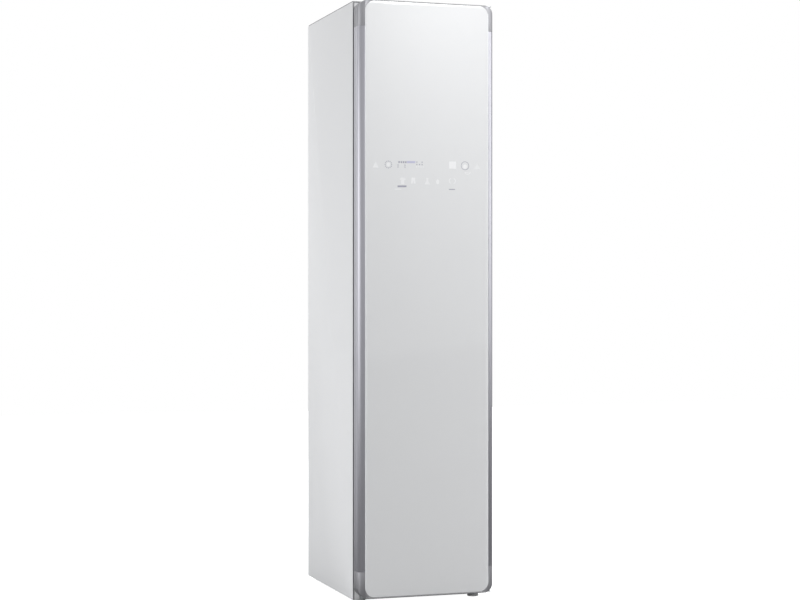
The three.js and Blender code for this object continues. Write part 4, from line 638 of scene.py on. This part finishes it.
# Door frame. Two extruded aluminium side profiles, satin anodised, with fine die lines along
# their length; moulded caps with a silver paint close the top and bottom. Beyond the glass's
# ends the caps are painted a dull dark grey, not metal: a painted dark reflection on their rims.
ANODISED = (0.552, 0.550, 0.596)
CAP_SILVER = (0.430, 0.430, 0.452)
PROFILE_ROUND = 0.0005
RIM_SHADE_GREY = (0.27, 0.272, 0.280)
RIM_SHADE_ROUGH = 0.60
RIM_SHADE_PAST = 0.0004


def drawn_lines():
    """Node group: fine lines along one direction, as left by a die, a brush or rolling."""
    tree, entry, leave = node_group("drawn_lines", (
        "Colour", "Line Scale", "Roughness", "Colour Drift", "Roughness Drift"),
        ("Colour", "Roughness", "Height"))
    stretch = add_node(tree, "ShaderNodeVectorMath", {0: own_place(tree), 1: entry["Line Scale"]},
                       operation="MULTIPLY")
    lines = add_node(tree, "ShaderNodeTexNoise", {"Vector": stretch.outputs[0], "Scale": 1.0,
                                                  "Detail": 3.0}).outputs["Fac"]
    drift_by(tree, entry, leave, lines)
    tree.links.new(lines, leave["Height"])
    return tree


def centre(name):
    """The middle of a node's box."""
    return [(low + high) / 2 for low, high in zip(*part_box(name))]


drawn = drawn_lines()


def lined(name, colour, roughness, line_scale, depth):
    """Drawn, brushed or rolled metal."""
    return surfaced(name, drawn, {"Colour": (*colour, 1), "Line Scale": line_scale,
                                  "Roughness": roughness, "Colour Drift": 0.08,
                                  "Roughness Drift": 0.12}, (0.5, depth), {"Metallic": 1.0})


anodised = lined("anodised_aluminium", ANODISED, 0.42, (1400.0, 1400.0, 5.0), 0.00001)
cap_paint = grained("cap_silver_paint", CAP_SILVER, 0.54, 1800.0, 0.00001, 0.02, 1.0)
# Painted shade: the caps turn dull dark grey beyond the glass's ends.
painted_light_beyond(cap_paint, (0, 0, 1), centre("door_glass")[2],
            (pane_high[2] - pane_low[2]) / 2 + RIM_SHADE_PAST, RIM_SHADE_GREY, RIM_SHADE_ROUGH)
dress(["door_profile_left", "door_profile_right"], anodised, PROFILE_ROUND)
dress(["door_cap_top", "door_cap_bottom"], cap_paint, PROFILE_ROUND)

# Door gasket. Soft grey extrusion with two lips and a groove between them, welded at its
# mitred corners into one frame on the door's rear face.
dress(["door_gasket"], grained("gasket_rubber", (0.12, 0.122, 0.126), 0.72, 700.0, 0.00004, 0.05),
      0.0006)

# Hinge brackets, plated steel plates under and over the door's corner. Each is held by two
# screws and carries the pin that the door turns on.
BRACKET_FLANGE = 0.011
BRACKET_FRONT = FLANGE_FACE - 0.0028
BRACKET_SCREW = 0.0034
dress(["hinge_bracket_bottom", "hinge_bracket_top"], plated, 0.0004)
for name, edge, inward in (("bottom", 0, 1), ("top", 1, -1)):
    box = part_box(f"hinge_bracket_{name}")
    for i, inset in enumerate((0.008, 0.024)):
        screw_head(f"bracket_{name}_screw_{i + 1}",
                   (box[0][0] + inset, BRACKET_FRONT, box[edge][2] + inward * BRACKET_FLANGE / 2),
                   BRACKET_SCREW)

# Base. Moulded kick plate between the side panels, and white screw feet with a ribbed rim.
# The feet screw down on their studs to level the cabinet.
white_plastic = grained("white_moulding", (0.80, 0.81, 0.82), 0.42, 1500.0, 0.00002, 0.02)
grey_plastic = grained("grey_moulding", (0.33, 0.345, 0.36), 0.50, 1400.0, 0.00003, 0.04)
dark_plastic = grained("dark_moulding", (0.030, 0.032, 0.035), 0.46, 1400.0, 0.00003, 0.10)
foot_white = grained("foot_moulding", (0.90, 0.90, 0.90), 0.55, 1200.0, 0.00003, 0.05)
dress(["kick_plate"], grey_plastic, 0.0006)
dress(["foot_front_left", "foot_front_right"], foot_white, 0.0005)

# Cabin. Vacuum-formed white liner with satin walls, a moulded floor with air vents and a
# ribbed lift-out shelf. The nozzle and the cassettes sit in the floor.
GUIDE_SCREW_X = 0.183
GUIDE_SCREW = 0.0036
COVER_SCREW_X = 0.050
COVER_SCREW_DROP = 0.014
liner_white = grained("liner_white", (0.78, 0.79, 0.80), 0.36, 500.0, 0.00003, 0.015)
shelf_white = grained("shelf_white", (0.76, 0.775, 0.79), 0.40, 1600.0, 0.00002, 0.015)
foam_stuff = grained("foam_skin", (0.80, 0.70, 0.42), 0.85, 420.0, 0.00025, 0.12)
dress(["inner_liner"], liner_white, 0.0012, 3)
dress(["cabin_floor", "drive_cover"], white_plastic, 0.0008)
dress(["shelf"], shelf_white, 0.0008)
dress(["insulation_foam", "door_core"], foam_stuff, 0)
dress(["steam_nozzle", "bar_guide_left", "bar_guide_right"], grey_plastic, 0.0007)
dress(["lint_filter"], grey_plastic, 0.0006)
dress(["aroma_filter"], dark_plastic, 0.0006)
BAR_Y, BAR_Z = centre("bar_guide_left")[1:]
guide_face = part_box("bar_guide_left")[0][1]
cover_low, cover_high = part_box("drive_cover")
for side, name in SIDES:
    screw_head(f"guide_screw_{name}", (side * GUIDE_SCREW_X, guide_face, BAR_Z), GUIDE_SCREW)
for side, name in SIDES:
    screw_head(f"cover_screw_front_{name}",
               (side * COVER_SCREW_X, cover_low[1], cover_high[2] - COVER_SCREW_DROP), BRACKET_SCREW)

# Ledge fillers. Small grey blocks close the slots that the floor's ledges leave beside the air
# duct, above the frame of the tank bay.
FILLER_WIDE = 0.0077
FILLER_TALL = 0.0104
FILLER_DEEP = 0.020
FILLER_GAP = 0.0003
duct_low, duct_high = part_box("air_duct")
filler_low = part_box("tank_bay")[1][2] + FILLER_GAP
for side, side_name in SIDES:
    filler = block(side * (duct_high[0] + FILLER_GAP), side * (duct_high[0] + FILLER_WIDE),
                   duct_low[1] + FILLER_GAP, duct_low[1] + FILLER_DEEP, filler_low,
                   filler_low + FILLER_TALL)
    place_piece(f"ledge_filler_{side_name}", skin([filler]), grey_plastic, 0.0005)

# Filter screens. A fine net fused into the lint cassette, and slanted slats over the aroma
# cassette. Both lie just under the bridge that carries the pull tab.
RIM_AND_WALL = 0.0062
SCREEN_DROP = 0.0172
NET_PITCH = 0.0030
NET_WIRE = 0.00045
SLAT_COUNT = 9
SLAT_THICK = 0.001
SLAT_LEAN = 0.0035
screen_net = grained("screen_net", (0.10, 0.105, 0.11), 0.55, 1500.0, 0.00002, 0.10)


def cassette_inside(name):
    """A cassette's opening from side to side and front to back, and the level of its screen."""
    low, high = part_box(name)
    return (low[0] + RIM_AND_WALL, high[0] - RIM_AND_WALL, low[1] + RIM_AND_WALL,
            high[1] - RIM_AND_WALL, high[2] - SCREEN_DROP)


def wires(low, high):
    """Places of the net's wires between two walls."""
    count = round((high - low) / NET_PITCH)
    return [low + (high - low) * i / count for i in range(1, count)]


x0, x1, y0, y1, level = cassette_inside("lint_filter")
net = [block(x - NET_WIRE, x + NET_WIRE, y0, y1, level, level + NET_WIRE * 2) for x in wires(x0, x1)]
net += [block(x0, x1, y - NET_WIRE, y + NET_WIRE, level + NET_WIRE, level + NET_WIRE * 3)
        for y in wires(y0, y1)]
place_piece("lint_screen", skin(net), screen_net, body="lint_filter")

x0, x1, y0, y1, level = cassette_inside("aroma_filter")
slats = []
for i in range(SLAT_COUNT):
    x = x0 + (x1 - x0 - SLAT_LEAN) * (i + 0.5) / SLAT_COUNT
    slats.append(prism([(x, level), (x + SLAT_THICK, level),
                        (x + SLAT_THICK + SLAT_LEAN, level + SLAT_LEAN),
                        (x + SLAT_LEAN, level + SLAT_LEAN)], "y", y0, y1))
place_piece("aroma_slats", skin(slats), screen_net, body="aroma_filter")

# Lamp. A frosted strip lens in the cabin ceiling, with a glow that is only just lit. It is a
# clear moulding, clouded so that it scatters the light.
LAMP_GLOW = {"Emission Color": (1.0, 0.96, 0.90, 1), "Emission Strength": 0.25}


def clear_material(name, colour, roughness, passing, glow=()):
    """Tinted moulding that lets light through and shows a slight cloudiness."""
    return grained(name, colour, roughness, 900.0, None, 0.05, 0.0, 14.0, 0.12,
                   {"Transmission Weight": passing, "IOR": 1.45, **dict(glow)})


dress(["cabin_lamp"], clear_material("lamp_lens", (0.90, 0.91, 0.90), 0.45, 0.5, LAMP_GLOW), 0.001)

# Hanger drive. Polished steel bar with collars, a forged rocker arm on the motor's shaft,
# and a plated gearbox with its motor.
bar_steel = lined("polished_bar", (0.72, 0.725, 0.73), 0.14, (5.0, 900.0, 900.0), 0.000005)
arm_steel = lined("forged_arm", (0.62, 0.625, 0.63), 0.26, (600.0, 600.0, 20.0), 0.00001)
dress(["hanger_bar"], bar_steel, 0.0006)
dress(["rocker_arm"], arm_steel, 0.0005)
dress(["hanger_motor"], plated, 0.0006)

# Hangers. Contoured dark mouldings on wire hooks that sit round the bar between collars; the
# trouser hanger is a closed frame with a ribbed foam sleeve on its lower bar.
HOOK_WIRE = 0.0025
HOOK_ROUND = 0.0138
HOOK_STEPS = 24
HOOK_TAIL = ((0.94, 0.42), (0.74, 0.86), (0.38, 1.28), (0.10, 1.62), (0.0, 1.95))
HOOK_END = 0.004
NECK_DROP = 0.030
NECK_Z = BAR_Z - NECK_DROP
SHOULDER_FALL = 0.062
SHOULDER_EDGE = 0.0154
SHOULDER_BEND = 0.55
HOLLOW_DROP = 0.0561
NOSE = 0.011
BODY_HALF = 0.007
WEB_INSET = 0.009
WEB_DEPTH = 0.0045
BAND = 0.012
GRIP_STATIONS = 41
GRIP_SIDES = 20
GRIP_WIDE = 0.0083
GRIP_TALL = 0.0066
GRIP_RISE = 0.0007
hanger_stuff = grained("hanger_moulding", (0.036, 0.037, 0.040), 0.40, 1600.0, 0.00002, 0.08)
grip_rubber = grained("grip_rubber", (0.020, 0.020, 0.021), 0.72, 900.0, 0.00006, 0.10)


def tube(points, radius, sides=10, rib=0.0):
    """A round bar that follows a row of points; each second ring stands out by the rib."""
    path = [Vector(point) for point in points]
    loops = []
    across = None
    for i, point in enumerate(path):
        along = (path[min(i + 1, len(path) - 1)] - path[max(i - 1, 0)]).normalized()
        if across is None:
            across = along.orthogonal().normalized()
        across = (across - along * across.dot(along)).normalized()
        other = along.cross(across)
        loops.append([point + across * a + other * b
                      for a, b in circle(radius + rib * (i % 2), sides)])
    return loops


def quadratic(start, control, end, steps):
    """Points along a quadratic curve, without its last one."""
    return [tuple((1 - t) ** 2 * a + 2 * t * (1 - t) * b + t ** 2 * c
                  for a, b, c in zip(start, control, end))
            for t in (i / steps for i in range(steps))]


def hanger_hook(name, x, body):
    """The wire: over the bar, down its front and back, and into the moulding's neck."""
    turns = [math.pi * (1 - i / HOOK_STEPS) for i in range(HOOK_STEPS + 1)]
    path = [(math.cos(turn), -math.sin(turn)) for turn in turns] + list(HOOK_TAIL)
    points = [(x, BAR_Y + HOOK_ROUND * out, BAR_Z - HOOK_ROUND * down) for out, down in path]
    wire = tube(points + [(x, BAR_Y, NECK_Z - HOOK_END)], HOOK_WIRE, 12)
    place_piece(name, skin([wire]), arm_steel, body=body)


def shoulder_outline(half):
    """Side view of the moulding: two shoulders that fall from the neck, and a hollow underside."""
    fall = NECK_Z - SHOULDER_FALL
    foot = fall - SHOULDER_EDGE
    bend = half * SHOULDER_BEND
    left, right = BAR_Y - half, BAR_Y + half
    neck_left, neck_right = (BAR_Y - NOSE, NECK_Z), (BAR_Y + NOSE, NECK_Z)
    curves = (((left, fall), (BAR_Y - bend, NECK_Z - NOSE), neck_left, 18),
              (neck_left, (BAR_Y, NECK_Z + 0.0002), neck_right, 4),
              (neck_right, (BAR_Y + bend, NECK_Z - NOSE), (right, fall), 18),
              ((right, fall), (right, foot), (right - NOSE, foot), 5),
              ((right - NOSE, foot), (BAR_Y, NECK_Z - HOLLOW_DROP), (left + NOSE, foot), 24),
              ((left + NOSE, foot), (left, foot), (left, fall), 5))
    return [point for curve in curves for point in quadratic(*curve)]


def middle_and_half(name):
    """A hanger's place along the bar, and half its depth."""
    low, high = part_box(name)
    return centre(name)[0], (high[1] - low[1]) / 2


for side, side_name in SIDES:
    name = f"shoulder_hanger_{side_name}"
    x, half = middle_and_half(name)
    mesh = skin([prism(shoulder_outline(half), "x", x - BODY_HALF, x + BODY_HALF)])
    mesh.normal_update()
    cheeks = [face for face in mesh.faces if len(face.verts) > 4]
    bmesh.ops.inset_region(mesh, faces=cheeks, thickness=WEB_INSET, depth=-WEB_DEPTH)
    moulding = place_piece(f"{name}_moulding", mesh, hanger_stuff, 0.0026, 3, name)
    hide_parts(name)
    hanger_hook(f"{name}_hook", x, name)

x, half = middle_and_half("trouser_hanger")
frame_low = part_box("trouser_hanger")[0][2]


def trouser_loop(depth, inset, level):
    """The closed frame at a depth, inset from its outer line."""
    outline = mirrored([(BAND - inset / 2, NECK_Z - inset),
                        (half - inset, level + BAND * 1.6 - inset), (half - inset, level)])
    return [(x + depth, BAR_Y + a, z) for a, z in outline]


frame_ring = [trouser_loop(depth, inset, frame_low + inset) for depth, inset in (
    (-BAND / 2, 0.0), (BAND / 2, 0.0), (BAND / 2, BAND), (-BAND / 2, BAND))]
moulding = place_piece("trouser_hanger_frame", skin([frame_ring], True), hanger_stuff,
                       0.0032, 3, "trouser_hanger")
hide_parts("trouser_hanger")
hanger_hook("trouser_hanger_hook", x, "trouser_hanger")
sleeve = []
for i in range(GRIP_STATIONS):
    y = BAR_Y + (half - BAND * 1.2) * (2 * i / (GRIP_STATIONS - 1) - 1)
    swell = 0.90 if i in (0, GRIP_STATIONS - 1) else 0.965 + 0.035 * (i % 2)
    sleeve.append([(x + GRIP_WIDE * a, y, frame_low + BAND / 2 + GRIP_TALL * b + GRIP_RISE)
                   for a, b in circle(swell, GRIP_SIDES)])
place_piece("trouser_hanger_sleeve", skin([sleeve]), grip_rubber,
            body="trouser_hanger")

# Door inside. White liner sheet with a raised field, a deep well in front of the tanks, and
# the trouser press: a fixed plate and a hinged cover, each with a padded strip. The pads are
# quilted, with a narrow channel stitched across every 115 mm.
PAD_MIDDLE = 0.075
PAD_HALF = 0.0474
PAD_END = 0.0226
PAD_DEPTH = 0.0055
PAD_THIN = 0.0008
PAD_TUCK = 0.0018
PAD_PULL = 0.012
PAD_COLUMNS = 16
PAD_ROWS = 150
CHANNEL_PITCH = 0.115
CHANNEL_HALF = 0.004
PAD_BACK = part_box("press_cover")[0][1] - 0.0001
dress(["door_liner"], liner_white, 0.0012, 3)
dress(["press_plate", "press_cover"], white_plastic, 0.0010, 3)
dress(["control_board"], grained("solder_mask", (0.020, 0.110, 0.050), 0.40, 500.0, 0.00005, 0.12),
      0.0003)


def woven_cloth():
    """Node group: colour and height of a fine plain weave, as threads over and under."""
    tree, entry, leave = node_group("woven_cloth", ("Colour", "Thread Scale"), ("Colour", "Height"))
    place = own_place(tree)
    bands = [add_node(tree, "ShaderNodeTexWave", {"Vector": place, "Scale": entry["Thread Scale"],
                                                  "Distortion": 0.6, "Detail": 1.0},
                      bands_direction=direction).outputs["Fac"] for direction in ("X", "Z")]
    cross = maths(tree, "MULTIPLY", *bands)
    shade = maths(tree, "MULTIPLY_ADD", cross, 0.22, 0.84)
    tree.links.new(tinted(tree, entry["Colour"], shade), leave["Colour"])
    tree.links.new(cross, leave["Height"])
    return tree


pad_cloth = surfaced("pad_cloth", woven_cloth(), {"Colour": (0.50, 0.52, 0.55, 1),
                                                  "Thread Scale": 260.0},
                     (0.7, 0.0004), {"Roughness": 0.85, "Sheen Weight": 0.3})


def press_pad(name, side):
    """A quilted heat-proof pad in a recess of the press plate."""
    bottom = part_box("press_plate")[0][2] + PAD_END
    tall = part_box("press_plate")[1][2] - PAD_END - bottom
    mesh = bmesh.new()
    corners = {}
    for j in range(PAD_ROWS + 1):
        v = j / PAD_ROWS
        seams = tall * v / CHANNEL_PITCH
        channel = math.exp(-((seams - round(seams)) * CHANNEL_PITCH / CHANNEL_HALF) ** 2)
        for i in range(PAD_COLUMNS + 1):
            u = -math.cos(math.pi * i / PAD_COLUMNS)
            edge = (1 - abs(u) ** 6) * (1 - abs(2 * v - 1) ** 120)
            within = 0 < j < PAD_ROWS and 0 < i < PAD_COLUMNS
            rise = PAD_DEPTH * math.sqrt(max(edge, 0.0)) - PAD_TUCK * channel * within
            pull = 1 - PAD_PULL * (1 - channel) if abs(u) > 0.98 else 1.0
            x = side * PAD_MIDDLE + PAD_HALF * u * pull
            for layer, out in enumerate((max(rise, PAD_THIN), 0.0)):
                corners[layer, j, i] = mesh.verts.new((x, PAD_BACK + out, bottom + tall * v))
    for layer, j, i in corners:
        if j < PAD_ROWS and i < PAD_COLUMNS:
            mesh.faces.new([corners[layer, j + b, i + a] for a, b in ((0, 0), (1, 0), (1, 1), (0, 1))])
    rim = [(j, 0) for j in range(PAD_ROWS)] + [(PAD_ROWS, i) for i in range(PAD_COLUMNS)]
    rim += [(PAD_ROWS - j, PAD_COLUMNS) for j in range(PAD_ROWS)]
    rim += [(0, PAD_COLUMNS - i) for i in range(PAD_COLUMNS)]
    for (j, i), (jj, ii) in zip(rim, rim[1:] + rim[:1]):
        mesh.faces.new([corners[key] for key in ((0, j, i), (0, jj, ii), (1, jj, ii), (1, j, i))])
    pad = place_piece(name, mesh, pad_cloth, body="door")


press_pad("press_pad_left", -1)
press_pad("press_pad_right", 1)

# Tanks and their bay. Grey bay, tinted clear tanks with white lids and grey handles. Level
# marks are printed on each tank's front, a drop on its lid, and a ribbed plug fills the lid.
TICK_COUNT = 6
TICK_PITCH = 0.030
TICK_LOWEST = 0.090
TICK_INSET = 0.030
TICK_SHORT = 0.006
TICK_LONG = 0.012
TICK_STROKE = 0.0010
PRINT_RISE = 0.00015
PRINT_LIFT = 0.00002
DROP_SIZE = 0.0030
DROP_INSET = 0.0045
LID_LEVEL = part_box("supply_tank_handle")[0][2] - 0.002
DISH_LEVEL = LID_LEVEL - 0.004
PLUG_RADIUS = 0.0155
PLUG_INSET = 0.040
PLUG_RISE = 0.0046
PLUG_RIBS = 36
PLUG_RIB = 0.0005
PLUG_STEPS = ((1.0, 0.0), (1.0, 0.62), (0.94, 0.80), (0.80, 0.80), (0.76, 0.62), (0.30, 0.62),
              (0.24, 1.0), (0.10, 1.0))
tank_clear = clear_material("tank_clear", (0.80, 0.87, 0.92), 0.22, 0.80)
tank_print = grained("tank_print", (0.92, 0.93, 0.94), 0.45, 1500.0, 0.00001, 0.02)
dress(["tank_bay"], grey_plastic, 0.0010)
dress(["supply_tank", "drain_tank"], tank_clear, 0.0012)
dress(["supply_tank_lid", "drain_tank_lid"], white_plastic, 0.0008)
dress(["supply_tank_handle", "drain_tank_handle"], grey_plastic, 0.0010)


def drop_outline(x, y, size):
    """A plain water drop, its point towards the back."""
    turns = [math.radians(38 - 256 * i / 14) for i in range(15)]
    return [(x, y + size * 1.35)] + [(x + size * math.cos(turn), y + size * math.sin(turn))
                                     for turn in turns]


for tank, sign_colour in (("supply", (0.10, 0.30, 0.55)), ("drain", (0.32, 0.33, 0.34))):
    body = f"{tank}_tank"
    low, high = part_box(body)
    middle = centre(body)[0]
    rule = high[0] - TICK_INSET
    levels = [TICK_LOWEST + TICK_PITCH * i for i in range(TICK_COUNT)]
    ticks = [(rule - (TICK_LONG if level in (levels[0], levels[-1]) else TICK_SHORT), rule, level,
              level) for level in levels] + [(rule, rule + TICK_STROKE, levels[0], levels[-1])]
    print_y = (low[1] - PRINT_RISE, low[1] - PRINT_LIFT)
    ticks = skin([block(x0, x1, *print_y, z0 - TICK_STROKE / 2, z1 + TICK_STROKE / 2)
                  for x0, x1, z0, z1 in ticks])
    place_piece(f"{tank}_level_marks", ticks, tank_print, body=body)
    drop = prism(drop_outline(middle, low[1] + DROP_INSET, DROP_SIZE), "z",
                 LID_LEVEL + PRINT_LIFT, LID_LEVEL + PRINT_RISE * 2)
    sign_ink = grained(f"{tank}_print", sign_colour, 0.40, 1500.0, 0.00001, 0.05)
    place_piece(f"{tank}_drop_sign", skin([drop]), sign_ink, body=body)
    plug = []
    for share, rise in PLUG_STEPS:
        groove = PLUG_RIB / PLUG_RADIUS if share == 1.0 else 0.0
        plug.append([(middle + a * (1 - groove * (i % 2)),
                      high[1] - PLUG_INSET + b * (1 - groove * (i % 2)),
                      DISH_LEVEL + 0.0001 + PLUG_RISE * rise)
                     for i, (a, b) in enumerate(circle(PLUG_RADIUS * share, PLUG_RIBS * 2))])
    place_piece(f"{tank}_filler_plug", skin([plug]), grey_plastic, body=body)

# Machine room. Air duct and drip tray in grey moulding, two finned coils, a dark fan scroll,
# a black enamelled compressor, the steam boiler, the pump, hoses, pipe and control box.
fin_stock = lined("fin_aluminium", (0.62, 0.63, 0.64), 0.40, (30.0, 200.0, 6.0), 0.00002)
copper = lined("drawn_copper", (0.74, 0.40, 0.26), 0.26, (40.0, 40.0, 40.0), 0.000002)
enamel = grained("black_enamel", (0.018, 0.018, 0.020), 0.30, 300.0, 0.00008, 0.10)
stainless = lined("boiler_steel", (0.60, 0.60, 0.60), 0.24, (8.0, 8.0, 500.0), 0.00001)
hose_rubber = grained("hose_rubber", (0.50, 0.51, 0.52), 0.60, 500.0, 0.00004, 0.05)
dress(["air_duct", "heat_pump_tray", "fan_wheel", "control_box"], grey_plastic, 0.0007)
dress(["evaporator", "condenser"], fin_stock, 0)
dress(["fan_housing", "water_pump"], dark_plastic, 0.0007)
dress(["fan_motor"], plated, 0.0006)
dress(["compressor"], enamel, 0.0012)
dress(["steam_generator"], stainless, 0.0010)
dress(["steam_hose", "supply_hose"], hose_rubber, 0)
dress(["refrigerant_pipe"], copper, 0)

# Machine-room fittings. Bolts with rubber grommets hold the compressor; a plastic cover under
# a wire bail hides its terminals. Studs and a thermostat sit on the boiler, steel bands hold
# the hoses, and two sleeved looms run to the control box.
BOLT_REACH = 0.063
BOLT_ACROSS = 0.0058
COVER_HALF = 0.022
BAIL_LEVEL = 0.113
BAIL_WIRE = 0.0011
GROMMET_LEVEL = 0.012
COVER_OUT = (0.052, 0.078)
COVER_LEVELS = (0.088, 0.138)
FLANGE_LEVEL = 0.0616
LID_TOP = 0.112
STUD_INSET = 0.030
STUD_BACK = 0.025
FLANGE_BOLT_INSET = 0.003
SMALL_SCREW = 0.0030
LOOM_RADIUS = 0.0034
LOOM_RIB = 0.0004
LOOM_PITCH = 0.0024
MOTOR_SCREW_REACH = 0.024
BOX_SCREW_INSET = 0.008
CLAMPS = (((0.118, 0.186, 0.1490), 0.0088, 0.0035), ((0.130, 0.060, 0.4640), 0.0088, 0.0035),
          ((0.020, -0.006, 0.0900), 0.0056, 0.0025))
CLAMP_BAND = 0.0012
terminal_black = grained("terminal_cover", (0.035, 0.036, 0.038), 0.48, 1200.0, 0.00003, 0.05)
grommet_stuff = grained("grommet_rubber", (0.05, 0.05, 0.052), 0.65, 900.0, 0.00003, 0.05)
loom_stuff = grained("loom_sleeve", (0.045, 0.045, 0.05), 0.50, 900.0, 0.00002, 0.05)
ceramic = grained("stud_ceramic", (0.78, 0.76, 0.72), 0.35, 900.0, 0.00002, 0.04)


def lathe(profile, x, y, z, sides=24):
    """A turned form: (radius, height) pairs about an upright axis that starts at a place."""
    return [[(x + a, y + b, z + height) for a, b in circle(radius, sides)]
            for radius, height in profile]


def smooth_path(points, steps):
    """A curve that passes through every point."""
    path = [Vector(point) for point in points]
    path = [path[0] * 2 - path[1]] + path + [path[-1] * 2 - path[-2]]
    curve = []
    for before, start, end, after in zip(path, path[1:], path[2:], path[3:]):
        for t in (k / steps for k in range(steps)):
            curve.append(0.5 * (2 * start + (end - before) * t
                                + (2 * before - 5 * start + 4 * end - after) * t ** 2
                                + (3 * start - before - 3 * end + after) * t ** 3))
    return curve + [path[-2]]


def loom(name, points):
    """Corrugated sleeve over wires."""
    curve = smooth_path(points, 14)
    fine = [curve[0]]
    for ahead in curve[1:]:
        for k in range(int((ahead - fine[-1]).length / LOOM_PITCH)):
            fine.append(fine[-1] + (ahead - fine[-1]).normalized() * LOOM_PITCH)
    sleeve = tube(fine, LOOM_RADIUS, 10, LOOM_RIB)
    place_piece(name, skin([sleeve]), loom_stuff)


shell_x, shell_y = centre("compressor")[:2]
plate_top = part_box("compressor")[0][2] + GROMMET_LEVEL
bolts = []
grommets = []
for x in (shell_x - BOLT_REACH, shell_x + BOLT_REACH):
    for y in (shell_y - BOLT_REACH, shell_y + BOLT_REACH):
        grommets.append(lathe([(0.0086, 0.0), (0.0092, 0.0015), (0.0086, 0.0030)], x, y, plate_top))
        bolts.append(lathe([(0.0072, 0.0), (0.0072, 0.0008)], x, y, plate_top + 0.003))
        bolts.append(lathe([(BOLT_ACROSS, 0.0), (BOLT_ACROSS, 0.0036), (BOLT_ACROSS * 0.86, 0.0042)],
                           x, y, plate_top + 0.0038, 6))
place_piece("compressor_grommets", skin(grommets), grommet_stuff, 0.0003)
place_piece("compressor_bolts", skin(bolts), plated, 0.0002)
terminals = block(*(shell_x + out for out in COVER_OUT), shell_y - COVER_HALF, shell_y + COVER_HALF,
                  *COVER_LEVELS)
place_piece("terminal_cover", skin([terminals]), terminal_black, 0.004, 3)
bail = tube(smooth_path([(shell_x + out, shell_y + aside, BAIL_LEVEL) for out, aside in (
    (0.052, -0.0235), (0.070, -0.0235), (0.0792, -0.018), (0.0792, 0.018), (0.070, 0.0235),
    (0.052, 0.0235))], 6), BAIL_WIRE)
place_piece("terminal_bail", skin([bail]), arm_steel)

boiler_low, boiler_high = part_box("steam_generator")
flange_top = boiler_low[2] + FLANGE_LEVEL
lid_top = boiler_low[2] + LID_TOP
stud_y = boiler_low[1] + STUD_BACK
stud_places = (boiler_low[0] + STUD_INSET, boiler_high[0] - STUD_INSET)
flange_bolts = [lathe([(0.0026, 0.0), (0.0026, 0.0016), (0.0020, 0.0021)], x,
                      boiler_low[1] + (boiler_high[1] - boiler_low[1]) * share, flange_top, 6)
                for x in (boiler_low[0] + FLANGE_BOLT_INSET, boiler_high[0] - FLANGE_BOLT_INSET)
                for share in (0.06, 0.36, 0.64, 0.94)]
studs = [lathe([(0.0062, 0.0), (0.0062, 0.004), (0.0044, 0.006), (0.0044, 0.010)], x, stud_y,
               lid_top) for x in stud_places]
stud_caps = [lathe([(0.0022, 0.0), (0.0022, 0.006), (0.0014, 0.007)], x, stud_y, lid_top + 0.010, 12)
             for x in stud_places]
thermostat = lathe([(0.0095, 0.0), (0.0095, 0.0042), (0.0085, 0.0055), (0.0050, 0.0055),
                    (0.0050, 0.0085)], boiler_low[0] + 0.068, boiler_low[1] + 0.022, lid_top)
place_piece("boiler_flange_bolts", skin(flange_bolts), plated, 0.0001)
place_piece("heater_studs", skin(studs), ceramic, 0.0004)
place_piece("heater_terminals", skin(stud_caps + [thermostat]), plated, 0.0002)
clamps = [lathe([(inner, -half), (inner + CLAMP_BAND, -half), (inner + CLAMP_BAND, half),
                 (inner, half)], *place, 32) for place, inner, half in CLAMPS]
place_piece("hose_clamps", skin(clamps, True), arm_steel, 0.0002)

loom("loom_heater", [(boiler_high[0] - STUD_INSET, stud_y, lid_top + 0.012),
                     (boiler_high[0] - 0.024, stud_y - 0.001, 0.170),
                     (0.184, 0.132, 0.225), (0.200, 0.100, 0.285), (0.2015, 0.060, 0.331)])
loom("loom_compressor", [(shell_x + 0.070, shell_y + 0.010, 0.092), (-0.030, 0.222, 0.060),
                         (0.000, 0.256, 0.030), (0.060, 0.2585, 0.0205), (0.150, 0.2585, 0.0205),
                         (0.196, 0.246, 0.030), (0.207, 0.215, 0.075), (0.207, 0.160, 0.190),
                         (0.204, 0.110, 0.290), (0.204, 0.100, 0.331)])
box_low, box_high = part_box("control_box")
for y in (box_low[1] + BOX_SCREW_INSET, box_high[1] - BOX_SCREW_INSET):
    for z in (box_low[2] + BOX_SCREW_INSET, box_high[2] - BOX_SCREW_INSET):
        screw_head(f"box_screw_{round(y * 1000)}_{round(z * 1000)}", (box_low[0], y, z), SMALL_SCREW,
                   (-1, 0, 0))
motor_y, motor_z = centre("fan_motor")[1:]
for number in range(3):
    turn = math.tau * (number / 3 + 0.25)
    screw_head(f"fan_motor_screw_{number + 1}",
               (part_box("fan_motor")[0][0], motor_y + MOTOR_SCREW_REACH * math.cos(turn),
                motor_z + MOTOR_SCREW_REACH * math.sin(turn)), SMALL_SCREW, (-1, 0, 0))
